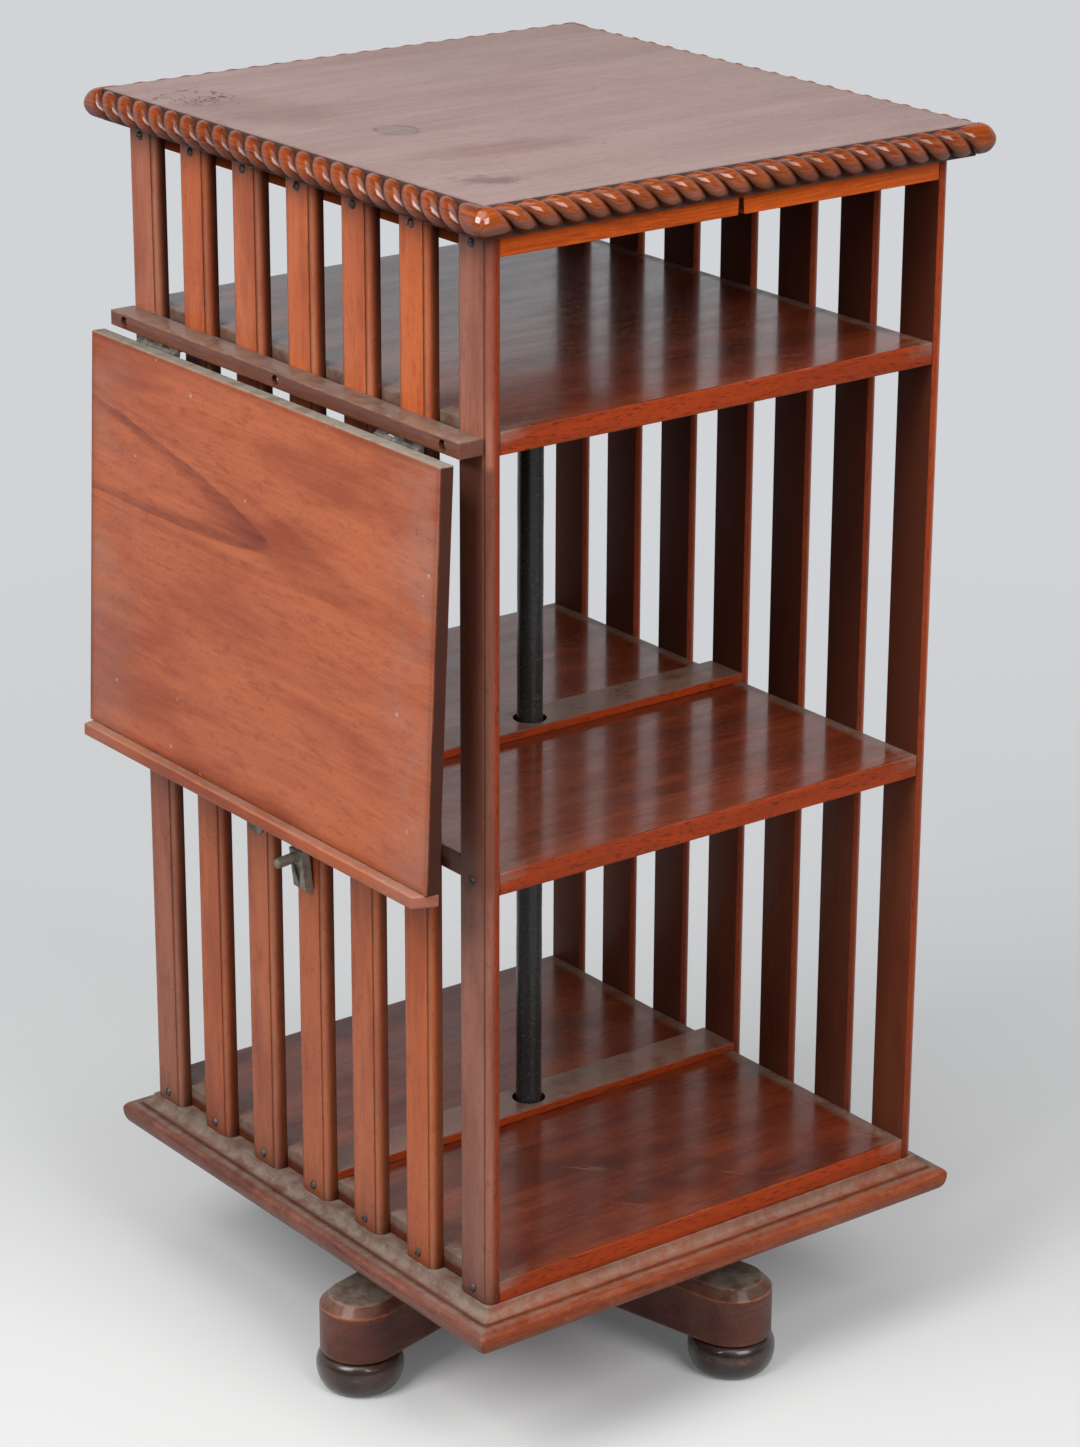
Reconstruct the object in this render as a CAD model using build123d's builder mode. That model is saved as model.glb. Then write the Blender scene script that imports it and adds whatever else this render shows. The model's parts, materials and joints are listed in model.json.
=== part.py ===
from build123d import *
from math import acos, asin, atan2, cos, hypot, radians, sin
import os

# Revolving bookcase: a slatted case of open shelves turns on an iron column that stands on a
# cross of two foot bars, and a reading board is hinged to one slatted side.
# Frame: origin on the floor at the column's axis, +Z up, open sides at -Y and +Y, slatted walls
# at -X and +X, the reading board outside the -X wall. Millimetres.

# Case
SHELF_LENGTH = 445.0
SHELF_DEPTH = 510.0
SHELF_THICK = 19.0
BOOK_TIER = 345.0
TOP_TIER = 136.0
COLUMN_HOLE_RADIUS = 15.0
BATTEN_WIDTH = 44.0
BATTEN_HEIGHT = 8.0

# Slats
SLAT_COUNT = 7
SLAT_WIDTH = 41.4
SLAT_THICK = 12.0
SLAT_MOULD = 5.5
SLAT_QUIRK = 0.8
SLAT_EDGE = 4.0
SLAT_MOULD_SAG = 1.6

# Top
TOP_RAIL_HEIGHT = 19.0
TOP_RAIL_THICK = 19.0
TOP_THICK = 27.0
TOP_OVERHANG = 14.5
ROPE_RADIUS = 14.0
ROPE_ABOVE_TOP = 1.0
RAIL_GAP_PLACE = 13.0
RAIL_GAP_WIDTH = 5.5
RAIL_GAP_DEPTH = 8.0

# Plinth moulding, outwards from the case's faces and down from the bottom shelf
PLINTH_HEIGHT = 30.0
PLINTH_INSIDE = 30.0
PLINTH_FLAT = 2.0
PLINTH_COVE = 9.0
PLINTH_COVE_DROP = 8.5
PLINTH_COVE_SAG = 1.3
PLINTH_FILLET = 1.5
PLINTH_LEDGE = 4.0
PLINTH_LEDGE_DROP = 0.5
PLINTH_NOSE = 9.0
PLINTH_NOSE_DROP = 6.0
PLINTH_NOSE_SAG = 2.2
PLINTH_UNDERCUT = 6.5
PLINTH_UNDERCUT_SAG = 1.8

# Base
BASE_TURN = 13.6
FOOT_CENTRE = 231.5
BAR_WIDTH = 70.0
BAR_HEIGHT = 53.0
BAR_CHAMFER = 9.0
BUN_HEIGHT = 35.0
BUN_RADIUS = 38.5
BUN_BELLY = 21.5
BUN_NECK_RADIUS = 31.0
BUN_NECK = 1.5
BUN_FLOOR_RADIUS = 26.0
PEG_RADIUS = 10.0
PEG_LENGTH = 22.0
CASE_LIFT = 45.0

# Column and its bearings
COLUMN_RADIUS = 11.5
COLUMN_SOCKET = 20.0
COLUMN_CHAMFER = 1.5
FLANGE_RADIUS = 55.0
FLANGE_THICK = 8.0
FLANGE_BOSS_RADIUS = 21.0
FLANGE_BOSS = 16.0
BEARING_RADIUS = 45.0
BEARING_THICK = 6.0
BEARING_BOSS_RADIUS = 20.0
BEARING_BOSS = 25.0
COLLAR_RADIUS = 40.0
COLLAR_THICK = 6.0
COLLAR_BOSS_RADIUS = 18.0
COLLAR_BOSS = 12.0
RUN_CLEARANCE = 0.06
PLATE_SCREW_INSET = 9.0
PLATE_SCREW_COUNT = 4

# Screws
SLAT_SCREW_RADIUS = 2.0
SLAT_SCREW_LENGTH = 32.0
SLAT_HEAD_RADIUS = 3.9
SLAT_HEAD_HEIGHT = 2.6
SLOT_WIDTH = 0.9
SLOT_DEPTH = 0.9
PLATE_SCREW_RADIUS = 1.5
PLATE_SCREW_LENGTH = 11.0
PLATE_HEAD_RADIUS = 3.0

# Lectern
RAIL_LENGTH = 502.0
RAIL_DEPTH = 24.0
RAIL_HEIGHT = 13.2
RAIL_BELOW_SHELF_TOP = 3.8
RAIL_SCREW_OFF_SLAT = 4.8
RAIL_SINK_RADIUS = 4.8
RAIL_SINK_DEPTH = 10.0
BOARD_WIDTH = 505.0
BOARD_HEIGHT = 349.0
BOARD_THICK = 13.0
BOARD_TILT = 2.55
BOARD_OUT = 4.0
BOARD_RISE = 1.5
BOARD_EDGE_ROUND = 1.2
LEDGE_THICK = 10.8
LEDGE_PROUD = 10.0
LEDGE_BEVEL = 6.5
LEDGE_ROUND = 2.0
LECTERN_RAISE = 55.0

# Lectern hinges
HINGE_LENGTH = 60.0
HINGE_PLACE = 174.0
HINGE_OUT = 1.5
HINGE_DROP = 4.2
LEAF_THICK = 1.6
LEAF_DEPTH = 20.0
LEAF_SCREW_COUNT = 3
KNUCKLE_RADIUS = 3.0
KNUCKLE_COUNT = 5
KNUCKLE_GAP = 0.3
HINGE_PIN_RADIUS = 1.5

# Stay of the lectern
STAY_PIVOT_DROP = 217.0
STAY_PIVOT_BACK = 9.0
STAY_WIDTH = 8.0
STAY_THICK = 5.0
STAY_EYE_RADIUS = 5.5
STAY_PIN_RADIUS = 2.5
STAY_STANDOFF = 5.0
FOOT_RADIUS = 4.0
FOOT_WIDTH = 18.0
FOOT_HEIGHT = 34.0
FOOT_RECESS = 2.0
FOOT_RECESS_EDGE = 3.0
FINGER_PLACE = 28.0
FINGER_RADIUS = 4.5
FINGER_LENGTH = 21.0
BRACKET_WIDTH = 44.0
BRACKET_HEIGHT = 36.0
BRACKET_THICK = 2.5
BRACKET_CHEEK = 4.0
BRACKET_GAP = 0.4
RACK_WIDTH = 16.0
RACK_THICK = 3.0
RACK_TOOTH = 14.0
RACK_TEETH = 3
RACK_STEP = 8.0
RACK_TAIL = 10.0
RACK_GAP = 0.6
RUB_PLATE_WIDTH = 28.0
RUB_PLATE_HEIGHT = 50.0
RUB_PLATE_THICK = 2.0
RUB_PLATE_BELOW_SHELF = 50.0

# Levels, from the floor up
bar_top = BUN_HEIGHT + BAR_HEIGHT
bottom_shelf_z = bar_top + CASE_LIFT + PLINTH_HEIGHT
middle_shelf_z = bottom_shelf_z + SHELF_THICK + BOOK_TIER
upper_shelf_z = middle_shelf_z + SHELF_THICK + BOOK_TIER
top_rail_z = upper_shelf_z + SHELF_THICK + TOP_TIER
top_board_z = top_rail_z + TOP_RAIL_HEIGHT
top_z = top_board_z + TOP_THICK

# Half sizes in plan
shelf_half_x = SHELF_LENGTH / 2
shelf_half_y = SHELF_DEPTH / 2
case_half_x = shelf_half_x + SLAT_THICK
top_half_x = case_half_x + TOP_OVERHANG
top_half_y = shelf_half_y + TOP_OVERHANG

# Slat places along a wall, and the two walls
slat_pitch = (SHELF_DEPTH - SLAT_WIDTH) / (SLAT_COUNT - 1)
slat_places = [shelf_half_y - SLAT_WIDTH / 2 - i * slat_pitch for i in range(SLAT_COUNT)]
walls = {"left": -1, "right": 1}

# Lectern hinge line and the hanging board: board_plane has x outwards from the board, y up along it
rail_top = upper_shelf_z + SHELF_THICK - RAIL_BELOW_SHELF_TOP
rail_bottom = rail_top - RAIL_HEIGHT
hinge = Vector(-(case_half_x + RAIL_DEPTH + HINGE_OUT), 0, rail_bottom - HINGE_DROP)
tilt = radians(BOARD_TILT)
board_plane = Plane(origin=hinge, x_dir=(-cos(tilt), 0, sin(tilt)), z_dir=(0, 1, 0))
hinge_plane = Plane(origin=hinge, x_dir=(-1, 0, 0), z_dir=(0, 1, 0))

# The stay is as long as its pivot is far from the hinge line, so that its foot runs on a straight
# line through the hinge line while the board rises.
pivot_out = BOARD_OUT - STAY_PIVOT_BACK
pivot = board_plane.from_local_coords((pivot_out, -STAY_PIVOT_DROP, 0))
stay_length = hypot(pivot_out, STAY_PIVOT_DROP)
foot_x = -(case_half_x + STAY_STANDOFF)
lean = asin((foot_x - pivot.X) / stay_length)
foot_z = pivot.Z - stay_length * cos(lean)
stay_plane = Plane(origin=pivot, x_dir=(-cos(lean), 0, -sin(lean)), z_dir=(0, 1, 0))
run_lean = atan2(foot_x - hinge.X, hinge.Z - foot_z)
rest_angle = acos(hypot(foot_x - hinge.X, hinge.Z - foot_z) / (2 * stay_length))


def foot_at(rise):
    """Middle of the stay's foot, as (x, z), with the board raised by an angle in degrees."""
    run = 2 * stay_length * cos(rest_angle + radians(rise))
    return hinge.X + run * sin(run_lean), hinge.Z - run * cos(run_lean)


def seat(point, outward):
    """Place of a screw: under its head, with local +Z out of the head."""
    return Plane(origin=point, z_dir=outward).location


def ring(radius, z, outward, turn=0):
    """Places of the screws round a plate, the first one turned from the X axis."""
    turned = Plane.XY.offset(z).rotated((0, 0, turn))
    places = PolarLocations(radius, PLATE_SCREW_COUNT).local_locations
    return [seat(turned.from_local_coords(place.position), outward) for place in places]


def drill(places, radius, depth):
    """Cuts a straight hole into the open part at each place, inwards from the place."""
    if places:
        with Locations(*places):
            Cylinder(radius, depth, align=(Align.CENTER, Align.CENTER, Align.MAX), mode=Mode.SUBTRACT)


def countersink(places):
    """Cuts the countersunk hole of a plate screw into the open part at each place."""
    with Locations(*places):
        CounterSinkHole(PLATE_SCREW_RADIUS, PLATE_HEAD_RADIUS, PLATE_SCREW_LENGTH)


# Screws of the slats; the lectern rail covers the left wall's row at the upper shelf
slat_screw_levels = {
    "bottom": bottom_shelf_z + SHELF_THICK / 2,
    "middle": middle_shelf_z + SHELF_THICK / 2,
    "upper": upper_shelf_z + SHELF_THICK / 2,
    "top": top_rail_z + TOP_RAIL_HEIGHT / 2,
}
slat_seats = {
    (wall, level): [seat((out * case_half_x, y, z), (out, 0, 0)) for y in slat_places]
    for wall, out in walls.items()
    for level, z in slat_screw_levels.items()
    if (wall, level) != ("left", "upper")
}


def level_seats(level):
    """Slat screw places of both walls at one level."""
    return slat_seats.get(("left", level), []) + slat_seats[("right", level)]


# Screws of the lectern rail, of the plates round the column and of the lectern's fittings
rail_screw_end = slat_places[0] - RAIL_SCREW_OFF_SLAT
rail_screw_places = (-rail_screw_end, 0, rail_screw_end)
rail_screw_z = (rail_top + rail_bottom) / 2
rail_face_x = -(case_half_x + RAIL_DEPTH)
rail_sinks = [seat((rail_face_x, y, rail_screw_z), (-1, 0, 0)) for y in rail_screw_places]
rail_seats = [
    seat((rail_face_x + RAIL_SINK_DEPTH, y, rail_screw_z), (-1, 0, 0)) for y in rail_screw_places
]
rail_screw_length = RAIL_DEPTH - RAIL_SINK_DEPTH + SLAT_SCREW_LENGTH
flange_seats = ring(FLANGE_RADIUS - PLATE_SCREW_INSET, bar_top + FLANGE_THICK, (0, 0, 1), BASE_TURN)
bearing_seats = ring(BEARING_RADIUS - PLATE_SCREW_INSET, upper_shelf_z, (0, 0, -1))
collar_seats = ring(COLLAR_RADIUS - PLATE_SCREW_INSET, bottom_shelf_z - COLLAR_THICK, (0, 0, -1))

leaf_screw_pitch = HINGE_LENGTH / LEAF_SCREW_COUNT
leaf_screw_ys = [
    side * HINGE_PLACE + (i - (LEAF_SCREW_COUNT - 1) / 2) * leaf_screw_pitch
    for side in (-1, 1)
    for i in range(LEAF_SCREW_COUNT)
]
leaf_middle = -KNUCKLE_RADIUS - LEAF_DEPTH / 2
rail_leaf_seats = [
    seat(hinge_plane.from_local_coords((leaf_middle, HINGE_DROP - LEAF_THICK, y)), (0, 0, -1))
    for y in leaf_screw_ys
]
board_leaf_seats = [
    seat(board_plane.from_local_coords((BOARD_OUT - LEAF_THICK, leaf_middle, y)), -board_plane.x_dir)
    for y in leaf_screw_ys
]
bracket_screw_y = BRACKET_WIDTH / 2 - PLATE_SCREW_INSET / 2
bracket_screw_up = BRACKET_HEIGHT / 2 - PLATE_SCREW_INSET / 2
bracket_seats = [
    seat(
        board_plane.from_local_coords((BOARD_OUT - BRACKET_THICK, rise - STAY_PIVOT_DROP, y)),
        -board_plane.x_dir,
    )
    for rise in (-bracket_screw_up, bracket_screw_up)
    for y in (-bracket_screw_y, bracket_screw_y)
]
rack_crests = [foot_at(LECTERN_RAISE - i * RACK_STEP) for i in range(RACK_TEETH)]
rack_top = rack_crests[0][1]
rack_bottom = rack_crests[-1][1] - RACK_TOOTH - RACK_TAIL
rack_seats = [
    seat((-(case_half_x + RACK_THICK), 0, (above[1] - RACK_TOOTH + below[1]) / 2), (-1, 0, 0))
    for above, below in zip(rack_crests, rack_crests[1:])
]
rub_plate_bottom = middle_shelf_z - RUB_PLATE_BELOW_SHELF
rub_plate_y = slat_pitch
rub_seats = [
    seat((-(case_half_x + RUB_PLATE_THICK), rub_plate_y, rub_plate_bottom + z), (-1, 0, 0))
    for z in (1.5 * PLATE_SCREW_INSET, RUB_PLATE_HEIGHT - 1.5 * PLATE_SCREW_INSET)
]

# Cross of the foot bars: one chamfered outline, cut into two half-lapped bars
os.makedirs("parts", exist_ok=True)
bar_length = 2 * FOOT_CENTRE + BAR_WIDTH
bar_middle = BUN_HEIGHT + BAR_HEIGHT / 2
base_plane = Plane.XY.rotated((0, 0, BASE_TURN))
foot_places = [
    base_plane.from_local_coords(place.position)
    for place in PolarLocations(FOOT_CENTRE, 4).local_locations
]
peg_seats = [seat((p.X, p.Y, BUN_HEIGHT), (0, 0, -1)) for p in foot_places]
for bar_name, bar_turn, lap_z in (("lower", 0, bar_middle), ("upper", 90, BUN_HEIGHT)):
    with BuildPart() as foot_bar:
        with BuildSketch(base_plane.offset(BUN_HEIGHT)):
            SlotOverall(bar_length, BAR_WIDTH)
            SlotOverall(bar_length, BAR_WIDTH, rotation=90)
        extrude(amount=BAR_HEIGHT)
        chamfer(foot_bar.faces().sort_by(Axis.Z)[-1].edges(), BAR_CHAMFER)
        with BuildSketch(base_plane.offset(BUN_HEIGHT)):
            SlotOverall(bar_length, BAR_WIDTH, rotation=bar_turn)
        extrude(amount=BAR_HEIGHT, mode=Mode.INTERSECT)
        with BuildSketch(base_plane.offset(lap_z)):
            Rectangle(BAR_WIDTH, BAR_WIDTH)
        extrude(amount=BAR_HEIGHT / 2, mode=Mode.SUBTRACT)
        drill(peg_seats, PEG_RADIUS, PEG_LENGTH)
        drill([seat((0, 0, bar_top), (0, 0, 1))], COLUMN_RADIUS, COLUMN_SOCKET)
        drill(flange_seats, PLATE_SCREW_RADIUS, PLATE_SCREW_LENGTH)
    foot_bar.part.label = f"foot_bar_{bar_name}"
    export_step(foot_bar.part, f"parts/foot_bar_{bar_name}.step")

# Bun feet, turned, each with a peg in its bar
bun_neck_z = BUN_HEIGHT - BUN_NECK
for number, place in enumerate(foot_places, start=1):
    with BuildPart() as bun_foot:
        with BuildSketch(Plane(origin=(place.X, place.Y, 0), x_dir=(1, 0, 0), z_dir=(0, -1, 0))):
            with BuildLine():
                Line((0, 0), (BUN_FLOOR_RADIUS, 0))
                EllipticalCenterArc(
                    (BUN_FLOOR_RADIUS, BUN_BELLY), BUN_RADIUS - BUN_FLOOR_RADIUS, BUN_BELLY, -90, arc_size=90
                )
                EllipticalCenterArc(
                    (BUN_NECK_RADIUS, BUN_BELLY),
                    BUN_RADIUS - BUN_NECK_RADIUS,
                    bun_neck_z - BUN_BELLY,
                    0,
                    arc_size=90,
                )
                Polyline(
                    (BUN_NECK_RADIUS, bun_neck_z),
                    (BUN_NECK_RADIUS, BUN_HEIGHT),
                    (PEG_RADIUS, BUN_HEIGHT),
                    (PEG_RADIUS, BUN_HEIGHT + PEG_LENGTH),
                    (0, BUN_HEIGHT + PEG_LENGTH),
                    (0, 0),
                )
            make_face()
        revolve(axis=Axis((place.X, place.Y, 0), (0, 0, 1)))
    bun_foot.part.label = f"bun_foot_{number}"
    export_step(bun_foot.part, f"parts/bun_foot_{number}.step")

# Column, its flange on the foot bars, the bearing cup at its top and the guide collar; the bearing
# plate is let into the upper shelf, flush with its underside
column_z = bar_top - COLUMN_SOCKET
with BuildPart() as column:
    with BuildSketch(Plane.XY.offset(column_z)):
        Circle(COLUMN_RADIUS)
    extrude(amount=upper_shelf_z - column_z)
    chamfer(column.edges().sort_by(Axis.Z)[-1], COLUMN_CHAMFER)
column.part.label = "column"
export_step(column.part, "parts/column.step")

with BuildPart() as column_flange:
    with BuildSketch(Plane.XY.offset(bar_top)):
        Circle(FLANGE_RADIUS)
        Circle(COLUMN_RADIUS, mode=Mode.SUBTRACT)
    extrude(amount=FLANGE_THICK)
    with BuildSketch(Plane.XY.offset(bar_top + FLANGE_THICK)):
        Circle(FLANGE_BOSS_RADIUS)
        Circle(COLUMN_RADIUS, mode=Mode.SUBTRACT)
    extrude(amount=FLANGE_BOSS)
    countersink(flange_seats)
column_flange.part.label = "column_flange"
export_step(column_flange.part, "parts/column_flange.step")

with BuildPart() as bearing_plate:
    with BuildSketch(Plane.XY.offset(upper_shelf_z)):
        Circle(BEARING_RADIUS)
    extrude(amount=BEARING_THICK)
    with BuildSketch(Plane.XY.offset(upper_shelf_z)):
        Circle(BEARING_BOSS_RADIUS)
        Circle(COLUMN_RADIUS + RUN_CLEARANCE, mode=Mode.SUBTRACT)
    extrude(amount=-BEARING_BOSS)
    countersink(bearing_seats)
bearing_plate.part.label = "bearing_plate"
export_step(bearing_plate.part, "parts/bearing_plate.step")

with BuildPart() as guide_collar:
    with BuildSketch(Plane.XY.offset(bottom_shelf_z)):
        Circle(COLLAR_RADIUS)
        Circle(COLUMN_RADIUS + RUN_CLEARANCE, mode=Mode.SUBTRACT)
    extrude(amount=-COLLAR_THICK)
    with BuildSketch(Plane.XY.offset(bottom_shelf_z - COLLAR_THICK)):
        Circle(COLLAR_BOSS_RADIUS)
        Circle(COLUMN_RADIUS + RUN_CLEARANCE, mode=Mode.SUBTRACT)
    extrude(amount=-COLLAR_BOSS)
    countersink(collar_seats)
guide_collar.part.label = "guide_collar"
export_step(guide_collar.part, "parts/guide_collar.step")

# Shelves between the slatted walls; the upper one has a recess for the bearing plate and no column hole
bearing_recess = seat((0, 0, upper_shelf_z), (0, 0, -1))
for shelf_name, shelf_z, recesses, plate_places, rail_places in (
    ("bottom", bottom_shelf_z, [], collar_seats, []),
    ("middle", middle_shelf_z, [], [], []),
    ("upper", upper_shelf_z, [bearing_recess], bearing_seats, rail_seats),
):
    with BuildPart() as shelf:
        with BuildSketch(Plane.XY.offset(shelf_z)):
            Rectangle(SHELF_LENGTH, SHELF_DEPTH)
            if shelf_name != "upper":
                Circle(COLUMN_HOLE_RADIUS, mode=Mode.SUBTRACT)
        extrude(amount=SHELF_THICK)
        drill(level_seats(shelf_name), SLAT_SCREW_RADIUS, SLAT_SCREW_LENGTH)
        drill(recesses, BEARING_RADIUS, BEARING_THICK)
        drill(plate_places, PLATE_SCREW_RADIUS, PLATE_SCREW_LENGTH)
        drill(rail_places, SLAT_SCREW_RADIUS, rail_screw_length)
    shelf.part.label = f"{shelf_name}_shelf"
    export_step(shelf.part, f"parts/{shelf_name}_shelf.step")

# Raised battens across the bottom and middle shelves
for batten_name, shelf_z in (("bottom", bottom_shelf_z), ("middle", middle_shelf_z)):
    with BuildPart() as batten:
        with BuildSketch(Plane.XY.offset(shelf_z + SHELF_THICK)):
            Rectangle(SHELF_LENGTH, BATTEN_WIDTH)
            Circle(COLUMN_HOLE_RADIUS, mode=Mode.SUBTRACT)
        extrude(amount=BATTEN_HEIGHT)
    batten.part.label = f"{batten_name}_batten"
    export_step(batten.part, f"parts/{batten_name}_batten.step")

# Slats: flat outer face with a quirked ovolo along both edges
slat_half = SLAT_WIDTH / 2
slat_flat = slat_half - SLAT_MOULD
slat_shoulder = SLAT_THICK - SLAT_QUIRK
for wall, out in walls.items():
    for number, slat_y in enumerate(slat_places, start=1):
        slat_plane = Plane(
            origin=(out * shelf_half_x, slat_y, bottom_shelf_z), x_dir=(out, 0, 0), z_dir=(0, 0, 1)
        )
        with BuildPart() as slat:
            with BuildSketch(slat_plane):
                with BuildLine():
                    Polyline((SLAT_EDGE, -slat_half), (0, -slat_half), (0, slat_half), (SLAT_EDGE, slat_half))
                    SagittaArc((SLAT_EDGE, slat_half), (slat_shoulder, slat_flat), -SLAT_MOULD_SAG)
                    Polyline(
                        (slat_shoulder, slat_flat),
                        (SLAT_THICK, slat_flat),
                        (SLAT_THICK, -slat_flat),
                        (slat_shoulder, -slat_flat),
                    )
                    SagittaArc((slat_shoulder, -slat_flat), (SLAT_EDGE, -slat_half), -SLAT_MOULD_SAG)
                make_face()
            extrude(amount=top_board_z - bottom_shelf_z)
            for level in slat_screw_levels:
                drill(slat_seats.get((wall, level)), SLAT_SCREW_RADIUS, SLAT_SCREW_LENGTH)
            if wall == "left":
                drill(rail_seats, SLAT_SCREW_RADIUS, rail_screw_length)
                drill(rack_seats + rub_seats, PLATE_SCREW_RADIUS, PLATE_SCREW_LENGTH)
        slat.part.label = f"slat_{wall}_{number}"
        export_step(slat.part, f"parts/slat_{wall}_{number}.step")

# Plinth mouldings and rope strips, one of each to a side, mitred at the corners
up = Vector(0, 0, 1)
rope_z = top_z + ROPE_ABOVE_TOP - ROPE_RADIUS
cove_end = PLINTH_FLAT + PLINTH_COVE
ledge_end = cove_end + PLINTH_LEDGE
ledge_drop = -PLINTH_COVE_DROP - PLINTH_FILLET - PLINTH_LEDGE_DROP
nose_end = ledge_end + PLINTH_NOSE
nose_drop = ledge_drop - PLINTH_NOSE_DROP
sides = {
    "front": (Vector(0, -1, 0), (case_half_x, shelf_half_y), (top_half_x, top_half_y)),
    "back": (Vector(0, 1, 0), (case_half_x, shelf_half_y), (top_half_x, top_half_y)),
    "left": (Vector(-1, 0, 0), (shelf_half_y, case_half_x), (top_half_y, top_half_x)),
    "right": (Vector(1, 0, 0), (shelf_half_y, case_half_x), (top_half_y, top_half_x)),
}
for side, (outward, (plinth_run, plinth_out), (rope_run, rope_out)) in sides.items():
    along = outward.cross(up)
    with BuildPart() as plinth:
        with BuildSketch(Plane(outward * plinth_out + up * bottom_shelf_z, x_dir=outward, z_dir=along)):
            with BuildLine():
                Line((-PLINTH_INSIDE, 0), (PLINTH_FLAT, 0))
                SagittaArc((PLINTH_FLAT, 0), (cove_end, -PLINTH_COVE_DROP), PLINTH_COVE_SAG)
                Polyline(
                    (cove_end, -PLINTH_COVE_DROP),
                    (cove_end, -PLINTH_COVE_DROP - PLINTH_FILLET),
                    (ledge_end, ledge_drop),
                )
                SagittaArc((ledge_end, ledge_drop), (nose_end, nose_drop), -PLINTH_NOSE_SAG)
                SagittaArc(
                    (nose_end, nose_drop),
                    (nose_end - PLINTH_UNDERCUT, -PLINTH_HEIGHT),
                    -PLINTH_UNDERCUT_SAG,
                )
                Polyline(
                    (nose_end - PLINTH_UNDERCUT, -PLINTH_HEIGHT),
                    (-PLINTH_INSIDE, -PLINTH_HEIGHT),
                    (-PLINTH_INSIDE, 0),
                )
            make_face()
        extrude(amount=plinth_run + 2 * nose_end, both=True)
        for end in (along, -along):
            corner = outward * plinth_out + end * plinth_run
            split(bisect_by=Plane(corner, z_dir=end - outward), keep=Keep.BOTTOM)
    plinth.part.label = f"plinth_{side}"
    export_step(plinth.part, f"parts/plinth_{side}.step")

    with BuildPart() as rope:
        with BuildSketch(Plane(outward * rope_out + up * rope_z, x_dir=outward, z_dir=along)):
            Circle(ROPE_RADIUS)
            Rectangle(ROPE_RADIUS, 2 * ROPE_RADIUS, align=(Align.MIN, Align.CENTER), mode=Mode.INTERSECT)
        extrude(amount=rope_run + 2 * ROPE_RADIUS, both=True)
        for end in (along, -along):
            corner = outward * rope_out + end * rope_run
            split(bisect_by=Plane(corner, z_dir=end - outward), keep=Keep.BOTTOM)
    rope.part.label = f"rope_{side}"
    export_step(rope.part, f"parts/rope_{side}.step")

# Top board and the rails under it; the front rail is split open near its middle
with BuildPart() as top_board:
    with BuildSketch(Plane.XY.offset(top_board_z)):
        Rectangle(2 * top_half_x, 2 * top_half_y)
    extrude(amount=TOP_THICK)
top_board.part.label = "top_board"
export_step(top_board.part, "parts/top_board.step")

front_rail_y = shelf_half_y - TOP_RAIL_THICK / 2
side_rail_x = shelf_half_x - TOP_RAIL_THICK / 2
side_rail_length = SHELF_DEPTH - 2 * TOP_RAIL_THICK
for rail_name, rail_place, rail_size in (
    ("front", (0, -front_rail_y), (SHELF_LENGTH, TOP_RAIL_THICK)),
    ("back", (0, front_rail_y), (SHELF_LENGTH, TOP_RAIL_THICK)),
    ("left", (-side_rail_x, 0), (TOP_RAIL_THICK, side_rail_length)),
    ("right", (side_rail_x, 0), (TOP_RAIL_THICK, side_rail_length)),
):
    with BuildPart() as top_rail:
        with BuildSketch(Plane.XY.offset(top_rail_z)):
            with Locations(rail_place):
                Rectangle(*rail_size)
            if rail_name == "front":
                with Locations((RAIL_GAP_PLACE, -shelf_half_y)):
                    Rectangle(RAIL_GAP_WIDTH, 2 * RAIL_GAP_DEPTH, mode=Mode.SUBTRACT)
        extrude(amount=TOP_RAIL_HEIGHT)
        drill(level_seats("top"), SLAT_SCREW_RADIUS, SLAT_SCREW_LENGTH)
    top_rail.part.label = f"top_rail_{rail_name}"
    export_step(top_rail.part, f"parts/top_rail_{rail_name}.step")

# Lectern rail with sunk screw holes
with BuildPart() as lectern_rail:
    with BuildSketch(Plane.XY.offset(rail_bottom)):
        with Locations((-(case_half_x + RAIL_DEPTH / 2), 0)):
            Rectangle(RAIL_DEPTH, RAIL_LENGTH)
    extrude(amount=RAIL_HEIGHT)
    drill(rail_sinks, RAIL_SINK_RADIUS, RAIL_SINK_DEPTH)
    drill(rail_seats, SLAT_SCREW_RADIUS, rail_screw_length)
    drill(rail_leaf_seats, PLATE_SCREW_RADIUS, PLATE_SCREW_LENGTH)
lectern_rail.part.label = "lectern_rail"
export_step(lectern_rail.part, "parts/lectern_rail.step")

# Lectern board and the ledge along its lower edge
board_bottom = BOARD_RISE - BOARD_HEIGHT
with BuildPart() as lectern_board:
    with BuildSketch(board_plane):
        with Locations((BOARD_OUT, board_bottom)):
            Rectangle(BOARD_THICK, BOARD_HEIGHT, align=Align.MIN)
    extrude(amount=BOARD_WIDTH / 2, both=True)
    top_edges = lectern_board.faces().sort_by(Axis.Z)[-1].edges().filter_by(Axis.Y)
    fillet(top_edges.sort_by(Axis.X)[0], BOARD_EDGE_ROUND)
    drill(board_leaf_seats + bracket_seats, PLATE_SCREW_RADIUS, PLATE_SCREW_LENGTH)
lectern_board.part.label = "lectern_board"
export_step(lectern_board.part, "parts/lectern_board.step")

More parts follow.
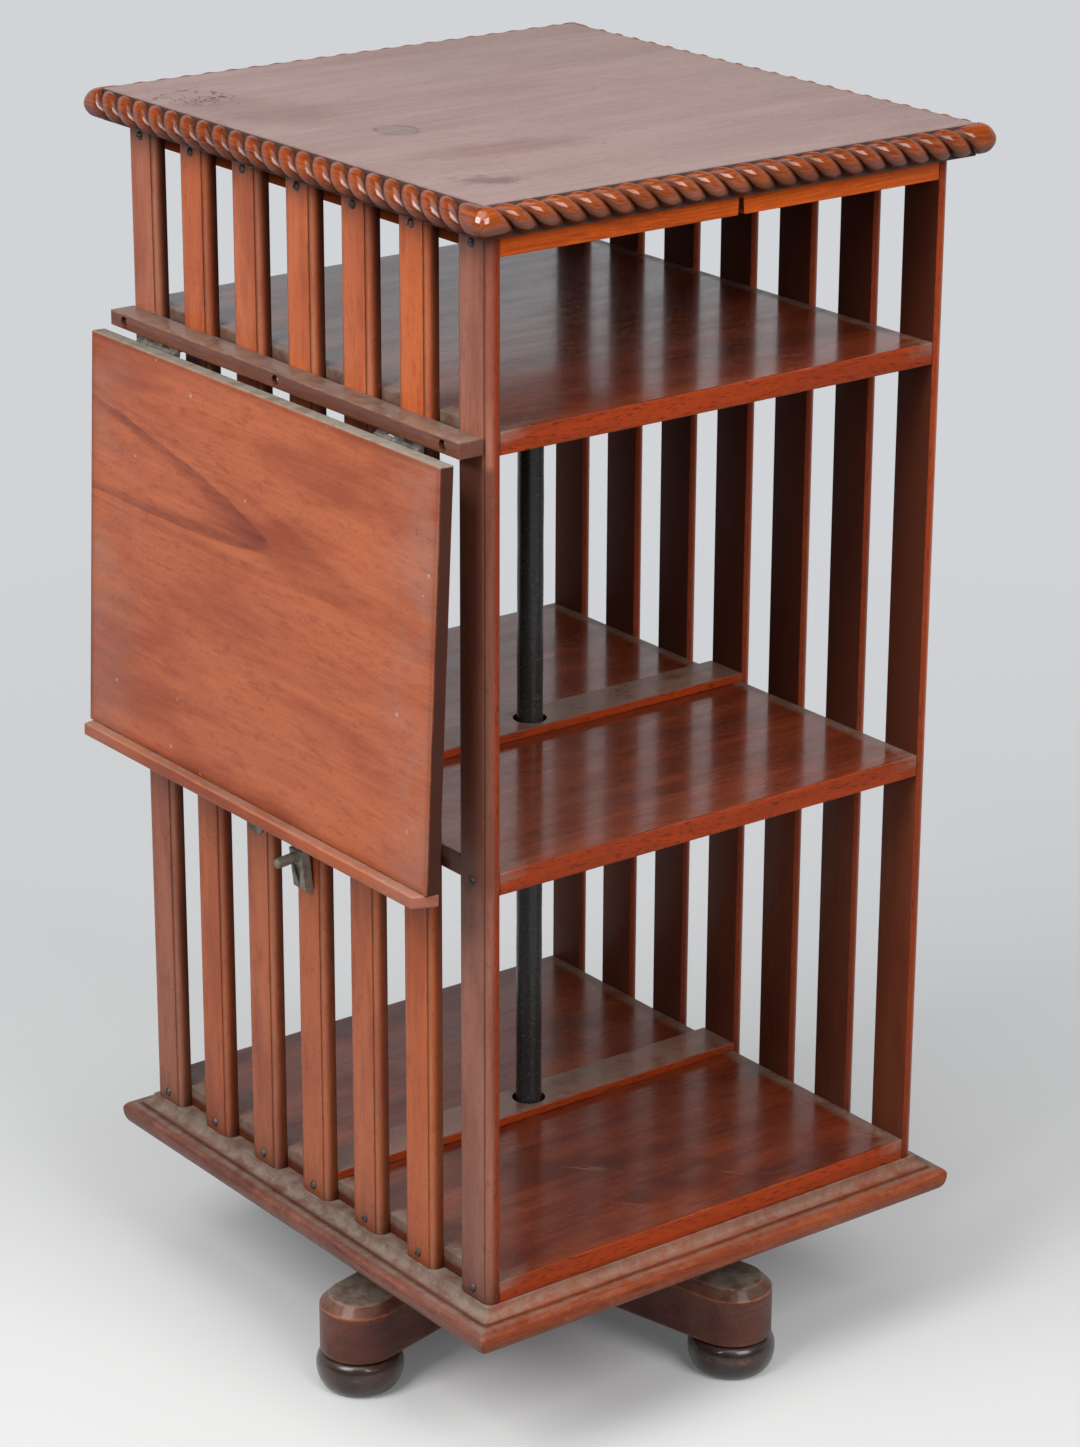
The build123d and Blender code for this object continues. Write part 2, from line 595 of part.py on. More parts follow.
ledge_half = BOARD_WIDTH / 2
ledge_depth = BOARD_THICK + LEDGE_PROUD
ledge_plane = Plane(
    origin=board_plane.from_local_coords((BOARD_OUT, board_bottom, 0)),
    x_dir=board_plane.x_dir,
    z_dir=board_plane.y_dir,
)
with BuildPart() as lectern_ledge:
    with BuildSketch(ledge_plane):
        with BuildLine():
            Polyline(
                (0, -ledge_half),
                (ledge_depth, LEDGE_BEVEL - ledge_half),
                (ledge_depth, ledge_half - LEDGE_BEVEL),
                (0, ledge_half),
                close=True,
            )
        make_face()
    extrude(amount=-LEDGE_THICK)
    fillet(lectern_ledge.faces().sort_by(Axis.X)[0].edges().filter_by(Axis.Y), LEDGE_ROUND)
lectern_ledge.part.label = "lectern_ledge"
export_step(lectern_ledge.part, "parts/lectern_ledge.step")

# Hinges: knuckles of the rail leaves and of the board leaves alternate along the pin
knuckle_pitch = HINGE_LENGTH / KNUCKLE_COUNT
knuckles = [(i - (KNUCKLE_COUNT - 1) / 2) * knuckle_pitch for i in range(KNUCKLE_COUNT)]
knuckle_half = (knuckle_pitch - KNUCKLE_GAP) / 2
hinge_ys = (-HINGE_PLACE, HINGE_PLACE)
with BuildPart() as hinge_rail_leaves:
    for hinge_y in hinge_ys:
        with BuildSketch(hinge_plane.offset(hinge_y)):
            with Locations((-KNUCKLE_RADIUS, HINGE_DROP)):
                Rectangle(LEAF_DEPTH, LEAF_THICK, align=Align.MAX)
        extrude(amount=HINGE_LENGTH / 2, both=True)
        for step in knuckles[0::2]:
            with BuildSketch(hinge_plane.offset(hinge_y + step)):
                Circle(KNUCKLE_RADIUS)
                Rectangle(KNUCKLE_RADIUS, HINGE_DROP, align=(Align.MAX, Align.MIN))
                Circle(HINGE_PIN_RADIUS, mode=Mode.SUBTRACT)
            extrude(amount=knuckle_half, both=True)
    countersink(rail_leaf_seats)
hinge_rail_leaves.part.label = "hinge_rail_leaves"
export_step(hinge_rail_leaves.part, "parts/hinge_rail_leaves.step")

with BuildPart() as hinge_board_leaves:
    for hinge_y in hinge_ys:
        with BuildSketch(board_plane.offset(hinge_y)):
            with Locations((BOARD_OUT, -KNUCKLE_RADIUS)):
                Rectangle(LEAF_THICK, LEAF_DEPTH, align=Align.MAX)
        extrude(amount=HINGE_LENGTH / 2, both=True)
        for step in knuckles[1::2]:
            with BuildSketch(board_plane.offset(hinge_y + step)):
                Circle(KNUCKLE_RADIUS)
                Rectangle(BOARD_OUT, KNUCKLE_RADIUS, align=(Align.MIN, Align.MAX))
                Circle(HINGE_PIN_RADIUS + RUN_CLEARANCE, mode=Mode.SUBTRACT)
            extrude(amount=knuckle_half, both=True)
    countersink(board_leaf_seats)
hinge_board_leaves.part.label = "hinge_board_leaves"
export_step(hinge_board_leaves.part, "parts/hinge_board_leaves.step")

with BuildPart() as hinge_pins:
    for hinge_y in hinge_ys:
        with BuildSketch(hinge_plane.offset(hinge_y)):
            Circle(HINGE_PIN_RADIUS)
        extrude(amount=HINGE_LENGTH / 2, both=True)
hinge_pins.part.label = "hinge_pins"
export_step(hinge_pins.part, "parts/hinge_pins.step")

# Stay: bracket on the board's back, pin, and the strut that hangs from it
cheek_inside = STAY_WIDTH / 2 + BRACKET_GAP
with BuildPart() as stay_bracket:
    with BuildSketch(board_plane):
        with Locations((BOARD_OUT, -STAY_PIVOT_DROP)):
            Rectangle(BRACKET_THICK, BRACKET_HEIGHT, align=(Align.MAX, Align.CENTER))
    extrude(amount=BRACKET_WIDTH / 2, both=True)
    for cheek in (cheek_inside, -cheek_inside - BRACKET_CHEEK):
        with BuildSketch(board_plane.offset(cheek)):
            with Locations((pivot_out, -STAY_PIVOT_DROP)):
                Circle(STAY_EYE_RADIUS)
                Rectangle(
                    STAY_PIVOT_BACK - BRACKET_THICK / 2,
                    2 * STAY_EYE_RADIUS,
                    align=(Align.MIN, Align.CENTER),
                )
                Circle(STAY_PIN_RADIUS, mode=Mode.SUBTRACT)
        extrude(amount=BRACKET_CHEEK)
    countersink(bracket_seats)
stay_bracket.part.label = "stay_bracket"
export_step(stay_bracket.part, "parts/stay_bracket.step")

with BuildPart() as stay_pin:
    with BuildSketch(stay_plane):
        Circle(STAY_PIN_RADIUS)
    extrude(amount=cheek_inside + BRACKET_CHEEK, both=True)
stay_pin.part.label = "stay_pin"
export_step(stay_pin.part, "parts/stay_pin.step")

# The strut's foot is a wider casting with a three-cornered recess and a finger to lift it by
foot_face = Plane(
    origin=stay_plane.from_local_coords((FOOT_RADIUS, -stay_length, 0)),
    x_dir=(0, -1, 0),
    z_dir=stay_plane.x_dir,
)
recess_top = FINGER_PLACE - FINGER_RADIUS - FOOT_RECESS_EDGE
recess_half = FOOT_WIDTH / 2 - FOOT_RECESS_EDGE
with BuildPart() as stay_strut:
    with BuildSketch(stay_plane):
        Circle(STAY_EYE_RADIUS)
        Rectangle(STAY_THICK, stay_length, align=(Align.CENTER, Align.MAX))
        Circle(STAY_PIN_RADIUS + RUN_CLEARANCE, mode=Mode.SUBTRACT)
    extrude(amount=STAY_WIDTH / 2, both=True)
    with BuildSketch(stay_plane):
        with Locations((0, -stay_length)):
            Circle(FOOT_RADIUS)
            Rectangle(2 * FOOT_RADIUS, FOOT_HEIGHT, align=(Align.CENTER, Align.MIN))
    extrude(amount=FOOT_WIDTH / 2, both=True)
    with BuildSketch(foot_face):
        with BuildLine():
            Polyline((-recess_half, recess_top), (recess_half, recess_top), (0, 0), close=True)
        make_face()
    extrude(amount=-FOOT_RECESS, mode=Mode.SUBTRACT)
    with BuildSketch(foot_face):
        with Locations((0, FINGER_PLACE)):
            Circle(FINGER_RADIUS)
    extrude(amount=FINGER_LENGTH)
    fillet(stay_strut.edges().sort_by(stay_plane.location.x_axis)[-1], FINGER_RADIUS * 0.6)
stay_strut.part.label = "stay_strut"
export_step(stay_strut.part, "parts/stay_strut.step")

# Fittings on the left wall: the toothed rack behind the board, its crests just clear of the
# foot's run, and a rounded plate on the slat beside it
slat_face = Plane(origin=(-case_half_x, 0, 0), x_dir=(0, -1, 0), z_dir=(-1, 0, 0))
with BuildPart() as stay_rack:
    with BuildSketch(slat_face):
        with Locations((0, rack_bottom)):
            Rectangle(RACK_WIDTH, rack_top - rack_bottom, align=(Align.CENTER, Align.MIN))
    extrude(amount=RACK_THICK)
    for crest_x, crest_z in rack_crests:
        crest_out = -crest_x - FOOT_RADIUS - RACK_GAP
        with BuildSketch(Plane(origin=(0, 0, 0), x_dir=(-1, 0, 0), z_dir=(0, 1, 0))):
            with BuildLine():
                Polyline(
                    (case_half_x, crest_z), (crest_out, crest_z), (case_half_x, crest_z - RACK_TOOTH), close=True
                )
            make_face()
        extrude(amount=RACK_WIDTH / 2, both=True)
    countersink(rack_seats)
stay_rack.part.label = "stay_rack"
export_step(stay_rack.part, "parts/stay_rack.step")

with BuildPart() as rub_plate:
    with BuildSketch(slat_face):
        with Locations((-rub_plate_y, rub_plate_bottom + RUB_PLATE_HEIGHT / 2)):
            SlotOverall(RUB_PLATE_HEIGHT, RUB_PLATE_WIDTH, rotation=90)
    extrude(amount=RUB_PLATE_THICK)
    countersink(rub_seats)
rub_plate.part.label = "rub_plate"
export_step(rub_plate.part, "parts/rub_plate.step")

# Round-head slotted wood screws: through the slats, and longer ones sunk in the lectern rail
for node, screw_length, places in (
    ("slat_screws", SLAT_SCREW_LENGTH, [place for row in slat_seats.values() for place in row]),
    ("rail_screws", rail_screw_length, rail_seats),
):
    with BuildPart() as round_screw:
        with BuildSketch(Plane.XZ):
            with BuildLine():
                EllipticalCenterArc((0, 0), SLAT_HEAD_RADIUS, SLAT_HEAD_HEIGHT, 0, arc_size=90)
                Polyline(
                    (0, SLAT_HEAD_HEIGHT),
                    (0, -screw_length),
                    (SLAT_SCREW_RADIUS, -screw_length),
                    (SLAT_SCREW_RADIUS, 0),
                    (SLAT_HEAD_RADIUS, 0),
                )
            make_face()
        revolve(axis=Axis.Z)
        with BuildSketch(Plane.XY.offset(SLAT_HEAD_HEIGHT)):
            Rectangle(2 * SLAT_HEAD_RADIUS, SLOT_WIDTH)
        extrude(amount=-SLOT_DEPTH, mode=Mode.SUBTRACT)
    with BuildPart() as round_screws:
        with Locations(*places):
            add(round_screw.part)
    round_screws.part.label = node
    export_step(round_screws.part, f"parts/{node}.step")

# Countersunk screws of the iron plates, flush with the plates
with BuildPart() as plate_screw:
    with BuildSketch(Plane.XZ):
        with BuildLine():
            Polyline(
                (0, 0),
                (PLATE_HEAD_RADIUS, 0),
                (PLATE_SCREW_RADIUS, PLATE_SCREW_RADIUS - PLATE_HEAD_RADIUS),
                (PLATE_SCREW_RADIUS, -PLATE_SCREW_LENGTH),
                (0, -PLATE_SCREW_LENGTH),
                close=True,
            )
        make_face()
    revolve(axis=Axis.Z)
for node, places in (
    ("flange_screws", flange_seats),
    ("fitting_screws", bearing_seats + collar_seats + rail_leaf_seats + rack_seats + rub_seats),
    ("lectern_screws", board_leaf_seats + bracket_seats),
):
    with BuildPart() as plate_screws:
        with Locations(*places):
            add(plate_screw.part)
    plate_screws.part.label = node
    export_step(plate_screws.part, f"parts/{node}.step")
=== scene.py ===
"""Revolving bookcase in old polished mahogany: a slatted case with a carved rope edge, turning on an
iron column over crossed foot bars, with a reading board hinged to one side.

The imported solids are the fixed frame. Boards, slats, mouldings, carving, feet and screws are drawn
again with worn edges over their solids; the small iron fittings keep their solids.
"""

import json
from math import cos, pi, radians, sin

import bpy
import numpy as np
from mathutils import Matrix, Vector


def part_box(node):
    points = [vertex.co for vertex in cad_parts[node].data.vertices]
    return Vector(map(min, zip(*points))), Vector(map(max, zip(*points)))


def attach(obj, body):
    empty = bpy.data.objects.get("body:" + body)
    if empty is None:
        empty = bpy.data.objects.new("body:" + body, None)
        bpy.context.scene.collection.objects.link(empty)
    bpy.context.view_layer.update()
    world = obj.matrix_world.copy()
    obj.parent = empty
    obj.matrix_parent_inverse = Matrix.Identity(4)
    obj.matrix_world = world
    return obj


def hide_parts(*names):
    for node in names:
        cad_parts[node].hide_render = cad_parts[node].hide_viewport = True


bl_info = {
    "name": "Revolving bookcase",
    "version": (1, 0, 0),
    "blender": (4, 5, 0),
    "location": "3D View > Sidebar > Bookcase",
    "description": "Dresses the packed revolving bookcase with worn mahogany, carved rope edge and iron fittings",
    "category": "Add Mesh",
}

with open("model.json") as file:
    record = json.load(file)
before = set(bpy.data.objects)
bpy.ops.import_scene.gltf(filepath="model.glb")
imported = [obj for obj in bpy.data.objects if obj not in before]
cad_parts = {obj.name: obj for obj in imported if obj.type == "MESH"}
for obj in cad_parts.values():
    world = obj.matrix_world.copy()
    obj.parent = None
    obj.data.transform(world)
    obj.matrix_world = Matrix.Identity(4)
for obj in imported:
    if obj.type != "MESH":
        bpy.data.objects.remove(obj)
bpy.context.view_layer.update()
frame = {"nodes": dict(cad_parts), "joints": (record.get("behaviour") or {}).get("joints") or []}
rng = np.random.default_rng(7)

UP = np.array((0.0, 0.0, 1.0))
SIDES = {
    "front": np.array((0.0, -1.0, 0.0)),
    "back": np.array((0.0, 1.0, 0.0)),
    "left": np.array((-1.0, 0.0, 0.0)),
    "right": np.array((1.0, 0.0, 0.0)),
}
WALLS = {"left": -1.0, "right": 1.0}
HANG = radians(2.55)  # how far the reading board hangs off the wall
CROSS_TURN = radians(13.6)  # how far the foot cross is turned against the case
RAIL_SCREWS = np.array((-0.2295, 0.0, 0.2295))  # places of the sunk screws along the lectern's rail
SLAT_SCREWS = {"left": (0.1725, 0.5365, 1.0555), "right": (0.1725, 0.5365, 0.9005, 1.0555)}


def amount(name, description, default, kind=bpy.props.FloatProperty, **more):
    """A property with its name, its description and its default."""
    return kind(name=name, description=description, default=default, **more)


def length(name, description, default):
    """A length property in metres."""
    return amount(name, description, default, unit="LENGTH", precision=4, step=0.01)


def count(name, description, default):
    """A property that counts beads."""
    return amount(name, description, default, bpy.props.IntProperty, min=3)


def colour(name, description, default):
    """A colour property, linear red, green and blue."""
    return amount(name, description, default, bpy.props.FloatVectorProperty, size=3, min=0.0, max=1.0, subtype="COLOR")


class BookcaseSizes(bpy.types.PropertyGroup):
    """Sizes of the wear and the carving that the solids leave out"""

    arris: length("Worn arris", "Rounding of the edges of boards and rails", 0.0011)
    slat_arris: length("Slat arris", "Rounding of the narrow edges of the slats", 0.0006)
    plinth_corner: length("Plinth corner", "Rounding of the worn outer corners of the plinth", 0.0045)
    bar_arris: length("Foot bar arris", "Rounding of the edges of the foot bars", 0.0016)
    long_beads: count("Beads, long sides", "Beads between the corner beads on the left and right", 21)
    short_beads: count("Beads, short sides", "Beads between the corner beads on the front and back", 20)
    corner_bead: length("Corner bead", "Straight part of the plain bead at each corner of the rope", 0.0175)
    corner_round: length("Corner rounding", "Rounding of the mitred corners of the rope", 0.0105)
    rope_twist: amount("Rope twist", "Beads that a groove runs along from the top to the underside", 1.15)
    rope_groove: amount(
        "Rope groove", "Depth of the grooves as a share of the rope's radius", 0.50, min=0.0, max=1.0, subtype="FACTOR"
    )
    column_hole: length("Column hole", "Radius of the hole for the column in shelves and battens", 0.015)
    split_depth: length("Rail split", "Height of the broken gap in the front rail", 0.0145)


class BookcaseColours(bpy.types.PropertyGroup):
    """Colours of the woods, metals and dust"""

    slat_light: colour("Slat, light", "Light grain of the slats", (0.53, 0.148, 0.060))
    slat_dark: colour("Slat, dark", "Dark grain of the slats", (0.398, 0.100, 0.0402))
    reading_light: colour("Reading board, light", "Light grain of the reading board", (0.486, 0.132, 0.0534))
    reading_dark: colour("Reading board, dark", "Dark grain of the reading board", (0.376, 0.092, 0.0369))
    rail_light: colour("Rail, light", "Light grain of the bright rails under the top", (0.88, 0.160, 0.022))
    rail_dark: colour("Rail, dark", "Dark grain of the rails under the top", (0.46, 0.070, 0.014))
    edge: colour("Edge", "Bright shelf edges", (0.34, 0.038, 0.004))
    edge_dark: colour("Edge, dark grain", "Dark grain of shelf edges", (0.22, 0.026, 0.005))
    shelf_light: colour("Shelf, light", "Light grain of the shelf tops", (0.235, 0.042, 0.011))
    shelf_dark: colour("Shelf, dark", "Dark grain of the shelf tops", (0.115, 0.019, 0.006))
    # Colour that the shade mark mixes in: painted shade.
    inside: colour("Inside", "Darkened inner faces of the slats", (0.060, 0.0125, 0.0052))
    plinth_light: colour("Plinth, light", "Light grain of the plinth", (0.26, 0.076, 0.040))
    plinth_dark: colour("Plinth, dark", "Dark grain of the plinth", (0.13, 0.034, 0.019))
    hinge_rail_light: colour("Hinge rail, light", "Light grain of the rail over the board", (0.200, 0.068, 0.037))
    hinge_rail_dark: colour("Hinge rail, dark", "Dark grain of the rail over the board", (0.100, 0.030, 0.018))
    top_light: colour("Top, light", "Light grain of the faded top", (0.276, 0.190, 0.173))
    top_dark: colour("Top, dark", "Dark grain of the faded top", (0.212, 0.143, 0.130))
    rope_light: colour("Rope, light", "Crowns of the carved beads", (0.36, 0.072, 0.010))
    rope_dark: colour("Rope, dark", "Grain of the carved beads", (0.10, 0.015, 0.003))
    worn: colour("Worn edge", "Wood where the polish is rubbed through", (0.50, 0.165, 0.070))
    # Also the colour of painted shade: on the rope's bead flanks, the top's sides, the reading board's sides and the
    # slats behind the board.
    dirt: colour("Dirt", "Old polish and dirt in the quirks", (0.022, 0.010, 0.007))
    # Also the colour of the painted highlight line on the slats' beads.
    dust: colour("Dust", "Dust on ledges and shelves", (0.235, 0.208, 0.168))
    foot_light: colour("Foot, light", "Light grain of the foot bars", (0.140, 0.047, 0.031))
    foot_dark: colour("Foot, dark", "Dark grain of the foot bars", (0.078, 0.027, 0.019))
    bun: colour("Bun foot", "Blackened bun feet", (0.022, 0.013, 0.011))
    bun_worn: colour("Bun foot, worn", "Rubbed places of the bun feet", (0.055, 0.025, 0.018))
    iron: colour("Iron", "Black column and plates", (0.030, 0.030, 0.030))
    iron_speck: colour("Iron, specks", "Specks in the black of the column", (0.210, 0.198, 0.182))
    steel: colour("Steel", "Dull steel of the screws", (0.110, 0.104, 0.098))
    steel_rust: colour("Steel, rust", "Rust on the screws", (0.050, 0.036, 0.028))
    rail_screw: colour("Rail screw", "Brighter steel of the sunk screws", (0.56, 0.50, 0.42))
    rail_screw_rust: colour("Rail screw, rust", "Rust on the sunk screws", (0.16, 0.13, 0.10))
    stay: colour("Stay", "Browned iron of the stay and its plates", (0.250, 0.215, 0.172))
    stay_dark: colour("Stay, dark", "Dark patches of the stay and its plates", (0.075, 0.058, 0.044))


class BookcaseStage(bpy.types.PropertyGroup):
    """Camera, lamps and floor"""

    camera_place: amount(
        "Camera place",
        "Where the camera stands",
        (-2.0112, -2.6547, 1.7811),
        bpy.props.FloatVectorProperty,
        subtype="TRANSLATION",
    )
    camera_turn: amount("Camera turn", "Heading from +Y towards +X", radians(37.30), subtype="ANGLE")
    camera_dip: amount("Camera dip", "Angle below level", radians(20.31), subtype="ANGLE")
    camera_roll: amount("Camera roll", "Turn about the line of sight", radians(0.24), subtype="ANGLE")
    lens: amount("Lens", "Focal length for a frame 36 mm high", 101.5, unit="CAMERA")
    key: amount("Key lamp", "Soft box to the left of the camera", 150.0, subtype="POWER")
    fill: amount("Fill lamp", "Soft box in front of the open side", 120.0, subtype="POWER")
    high: amount("Top lamp", "Soft box overhead", 50.0, subtype="POWER")
    sky: amount("Room light", "Strength of the even light around", 0.42, min=0.0)
    dim_side: amount("Dim side", "Brightness of the room behind the camera, as polished faces mirror it", 0.06, min=0.0)
    floor: colour("Floor", "Pale floor", (0.63, 0.63, 0.62))
    backdrop: colour("Backdrop", "Pale background", (0.64, 0.655, 0.68))


def sizes():
    """The scene's bookcase sizes."""
    return bpy.context.scene.bookcase_sizes


def colours():
    """The scene's bookcase colours."""
    return bpy.context.scene.bookcase_colours


def box(node):
    """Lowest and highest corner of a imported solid, as arrays."""
    low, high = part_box(node)
    return np.array(low), np.array(high)


# Surfaces


def skin(name, rows, ring=False, **marks):
    """Object whose surface runs through closed loops: rows[copy, loop, point]. Neighbouring loops are
    joined by quads, and the first and last loop are closed by a face each, or joined to each other
    when ring is true. Faces are turned so that the enclosed volume is positive. Each mark becomes a
    point attribute."""
    rows = np.asarray(rows, float)
    rows = rows[None] if rows.ndim == 3 else rows
    copies, loops, around = rows.shape[:3]
    number = np.arange(loops * around).reshape(loops, around)
    walk = np.vstack([number, number[:1]]) if ring else number
    near, far = walk[:-1], walk[1:]
    quads = np.stack([near, np.roll(near, -1, 1), np.roll(far, -1, 1), far], -1).reshape(-1, 4)
    ends = [] if ring else [number[0][::-1], number[-1]]
    flat = rows[0].reshape(-1, 3) - rows[0].mean((0, 1))
    a, b, c, d = flat[quads].transpose(1, 0, 2)
    volume = (a * (np.cross(b, c) + np.cross(c, d))).sum()
    volume += sum((flat[e[0]] * np.cross(flat[e], flat[np.roll(e, -1)])).sum() for e in ends)
    if volume < 0:
        quads, ends = quads[:, ::-1], [e[::-1] for e in ends]
    corners = np.concatenate([quads.ravel(), *ends])
    counts = np.r_[np.full(len(quads), 4), np.full(len(ends), around)].astype(int)
    corners = (corners + (np.arange(copies) * loops * around)[:, None]).ravel()
    counts = np.tile(counts, copies)
    mesh = bpy.data.meshes.new(name)
    mesh.vertices.add(rows.size // 3)
    mesh.vertices.foreach_set("co", rows.ravel())
    mesh.loops.add(len(corners))
    mesh.loops.foreach_set("vertex_index", corners)
    mesh.polygons.add(len(counts))
    mesh.polygons.foreach_set("loop_start", np.r_[0, np.cumsum(counts)[:-1]])
    mesh.update(calc_edges=True)
    mesh.validate()
    for key, value in marks.items():
        layer = mesh.attributes.new(key, "FLOAT", "POINT")
        layer.data.foreach_set("value", np.broadcast_to(value, rows.shape[:3]).astype(np.float32).ravel())
    mesh.shade_smooth()
    mesh.set_sharp_from_angle(angle=radians(42))
    piece = bpy.data.objects.new(name, mesh)
    bpy.context.scene.collection.objects.link(piece)
    return piece


def dress(piece, body, slot, material, *nodes):
    """Gives a piece its material and its body, and lets it stand for the named solids. The slot is not used."""
    piece.data.materials.append(material)
    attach(piece, body)
    if nodes:
        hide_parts(*nodes)


def lay(rows, origin, a, b, n):
    """Points given along a, b and n from an origin, as points of the frame."""
    a, b, n = (np.asarray(v, float) for v in (a, b, n))
    return np.asarray(origin, float) + rows[..., 0:1] * a + rows[..., 1:2] * b + rows[..., 2:3] * n


def lifted(flat, level):
    """Loops from flat outlines, each lifted to its own level."""
    return np.concatenate([flat, np.broadcast_to(level[:, None, None], (*flat.shape[:2], 1))], -1)


def mirrored(half):
    """Values of half a section, followed by the same in reverse."""
    return np.r_[half, half[::-1]]


def rectangle(half_a, half_b, radius, between=0):
    """Closed outlines of rounded rectangles, one for each entry of the arrays: quarter circles about
    the four corner centres, with evenly spaced points on the straight sides between them."""
    half_a, half_b, radius = (np.asarray(v, float)[..., None, None] for v in (half_a, half_b, radius))
    angle = np.arange(4)[:, None] * pi / 2 + np.linspace(0, pi / 2, 4)
    sign_a, sign_b = np.array([[1, -1, -1, 1], [1, 1, -1, -1]])[:, :, None]
    arcs = np.stack(
        [sign_a * (half_a - radius) + radius * np.cos(angle), sign_b * (half_b - radius) + radius * np.sin(angle)], -1
    )
    step = np.linspace(0, 1, between + 2)[1:-1, None]
    start, stop = arcs[..., -1:, :], np.roll(arcs, -1, -3)[..., :1, :]
    outline = np.concatenate([arcs, start + (stop - start) * step], -2)
    return outline.reshape(*outline.shape[:-3], -1, 2)


def slab(half_a, half_b, thick, arris, corner=0.0012, hole=0.0, between=0):
    """Loops of a board from its lower face to its upper one: rectangles that grow over the lower face,
    turn round the arris on a quarter circle, climb the side and shrink again over the upper face.
    With a hole, the loops start and end on its two rims, whose points have the angles of a square's
    outline. Also gives the marks of wear, highest on the arris, of the sides, and of those sides that
    look along b."""
    reach = min(half_a, half_b) - hole
    turn = np.linspace(0, pi / 2, 4)
    border = np.minimum((0.016, 0.007, 0.0028), reach * np.array((0.75, 0.5, 0.25)))
    flank = np.minimum((0.0028, 0.007), thick * np.array((0.25, 0.45)))
    inset = mirrored(np.r_[border, arris * (1 - np.sin(turn)), 0, 0])
    level = np.r_[0, 0, 0, arris * (1 - np.cos(turn)), flank]
    level = np.r_[level, thick - level[::-1]]
    wear = mirrored(np.array((0, 0.06, 0.3, 0.8, 1, 1, 0.7, 0.2, 0)))
    side = mirrored(np.array((0, 0, 0, 0, 0.3, 1, 1, 1, 1)))
    rows = lifted(rectangle(half_a - inset, half_b - inset, np.maximum(corner - inset, 0.0002), between), level)
    if hole:
        rim = np.concatenate([rim_points(hole, between), np.zeros((rows.shape[1], 1))], -1)
        rows = np.concatenate([rim[None], rows, (rim + (0, 0, thick))[None]])
        wear, side = np.r_[0.5, wear, 0.5], np.r_[0, side, 0]
    along_b = np.abs(rows[..., 1]) > half_b - 0.002
    return rows, {"wear": wear[:, None], "side": side[:, None], "edge": side[:, None] * along_b}


def rim_points(radius, between):
    """Circle of a radius, with as many points as a rounded rectangle, at the angles of a square's outline."""
    square = rectangle(1.0, 1.0, 0.02, between)
    return radius * square / np.linalg.norm(square, axis=-1, keepdims=True)


def board(name, low, high, axis, arris, hole=0.0, between=0, dusty="", **marks):
    """A board that fills the box from low to high, with its faces square to the axis number. Dust lies on its whole
    upper face, or along the two sides of it that end in a slatted wall, with painted shade where they meet the wall, or
    its sides are darkened with painted shade."""
    half = (high - low) / 2
    a, b = (1, 2) if axis == 0 else (2, 0) if axis == 1 else (0, 1)
    rows, worn = slab(half[a], half[b], 2 * half[axis], arris, hole=hole, between=between)
    above, to_wall = rows[..., 2] > half[axis], half[a] - np.abs(rows[..., 0])
    if dusty == "top":
        marks["dust"] = above * (1 - worn["side"]) * 0.7
    # Painted shade on the sides, used for the top's sides under the rope.
    if dusty == "sides":
        marks["dirt"] = worn["side"] * 0.8
    if dusty == "walls":
        marks["dust"] = (to_wall < 0.0075) * above * 0.8
        marks["shade"] = (to_wall < 0.001) * 0.7
    middle = low + half
    middle[axis] = low[axis]
    unit = np.eye(3)
    return skin(name, lay(rows, middle, unit[a], unit[b], unit[axis]), ring=hole > 0, **{**worn, **marks})


def lathe(profile, centre, turns):
    """Loops of a turned piece: each (radius, height) of the profile carried round an upright axis."""
    angle = np.linspace(0, 2 * pi, turns, endpoint=False)
    radius, height = np.asarray(profile, float).T[:, :, None]
    ring = np.stack(np.broadcast_arrays(radius * np.cos(angle), radius * np.sin(angle), height), -1)
    return ring + np.asarray(centre, float)


def mitred(profile, run, corner, outward, origin):
    """Loops of a moulding along one side: the profile of (outward, up) points is carried along the side
    and round a small arc of the given radius at each end, up to the mitre plane at 45 degrees."""
    out, up = np.asarray(profile, float).T
    radius = corner * np.clip(out / 0.012, 0.02, 1)
    arc = np.linspace(0, pi / 4, 5)[:, None]
    along = run + out - radius + radius * np.sin(arc)
    stand = out - radius + radius * np.cos(arc)
    up = np.broadcast_to(up, (2 * len(arc), len(up)))
    rows = np.stack([np.r_[-along[::-1], along], np.r_[stand[::-1], stand], up], -1)
    return lay(rows, origin, np.cross(UP, outward), outward, UP)


# Shader groups and materials


class Wire:
    """A shader value to reckon with: + - * / and abs add a Math node to the tree that it belongs to."""

    def __init__(self, socket):
        self.socket, self.tree = socket, socket.id_data

    def __add__(self, other):
        return maths("ADD", self, other)

    def __sub__(self, other):
        return maths("SUBTRACT", self, other)

    def __rsub__(self, other):
        return maths("SUBTRACT", other, self)

    def __mul__(self, other):
        return maths("MULTIPLY", self, other)

    def __truediv__(self, other):
        return maths("DIVIDE", self, other)

    def __abs__(self):
        return maths("ABSOLUTE", self)


class Wires:
    """The outputs of a node as wires, by name or number."""

    def __init__(self, node):
        self.node = node

    def __getitem__(self, key):
        return Wire(self.node.outputs[key])


def connect(node, inputs):
    """Links those inputs of a node that are given a wire, sets the others, and gives the outputs."""
    for key, value in inputs.items():
        if isinstance(value, Wire):
            value.tree.links.new(value.socket, node.inputs[key])
        else:
            node.inputs[key].default_value = value
    return Wires(node)


def tree_of(inputs):
    """The tree that the first wire among some inputs belongs to."""
    return next(value.tree for value in inputs.values() if isinstance(value, Wire))


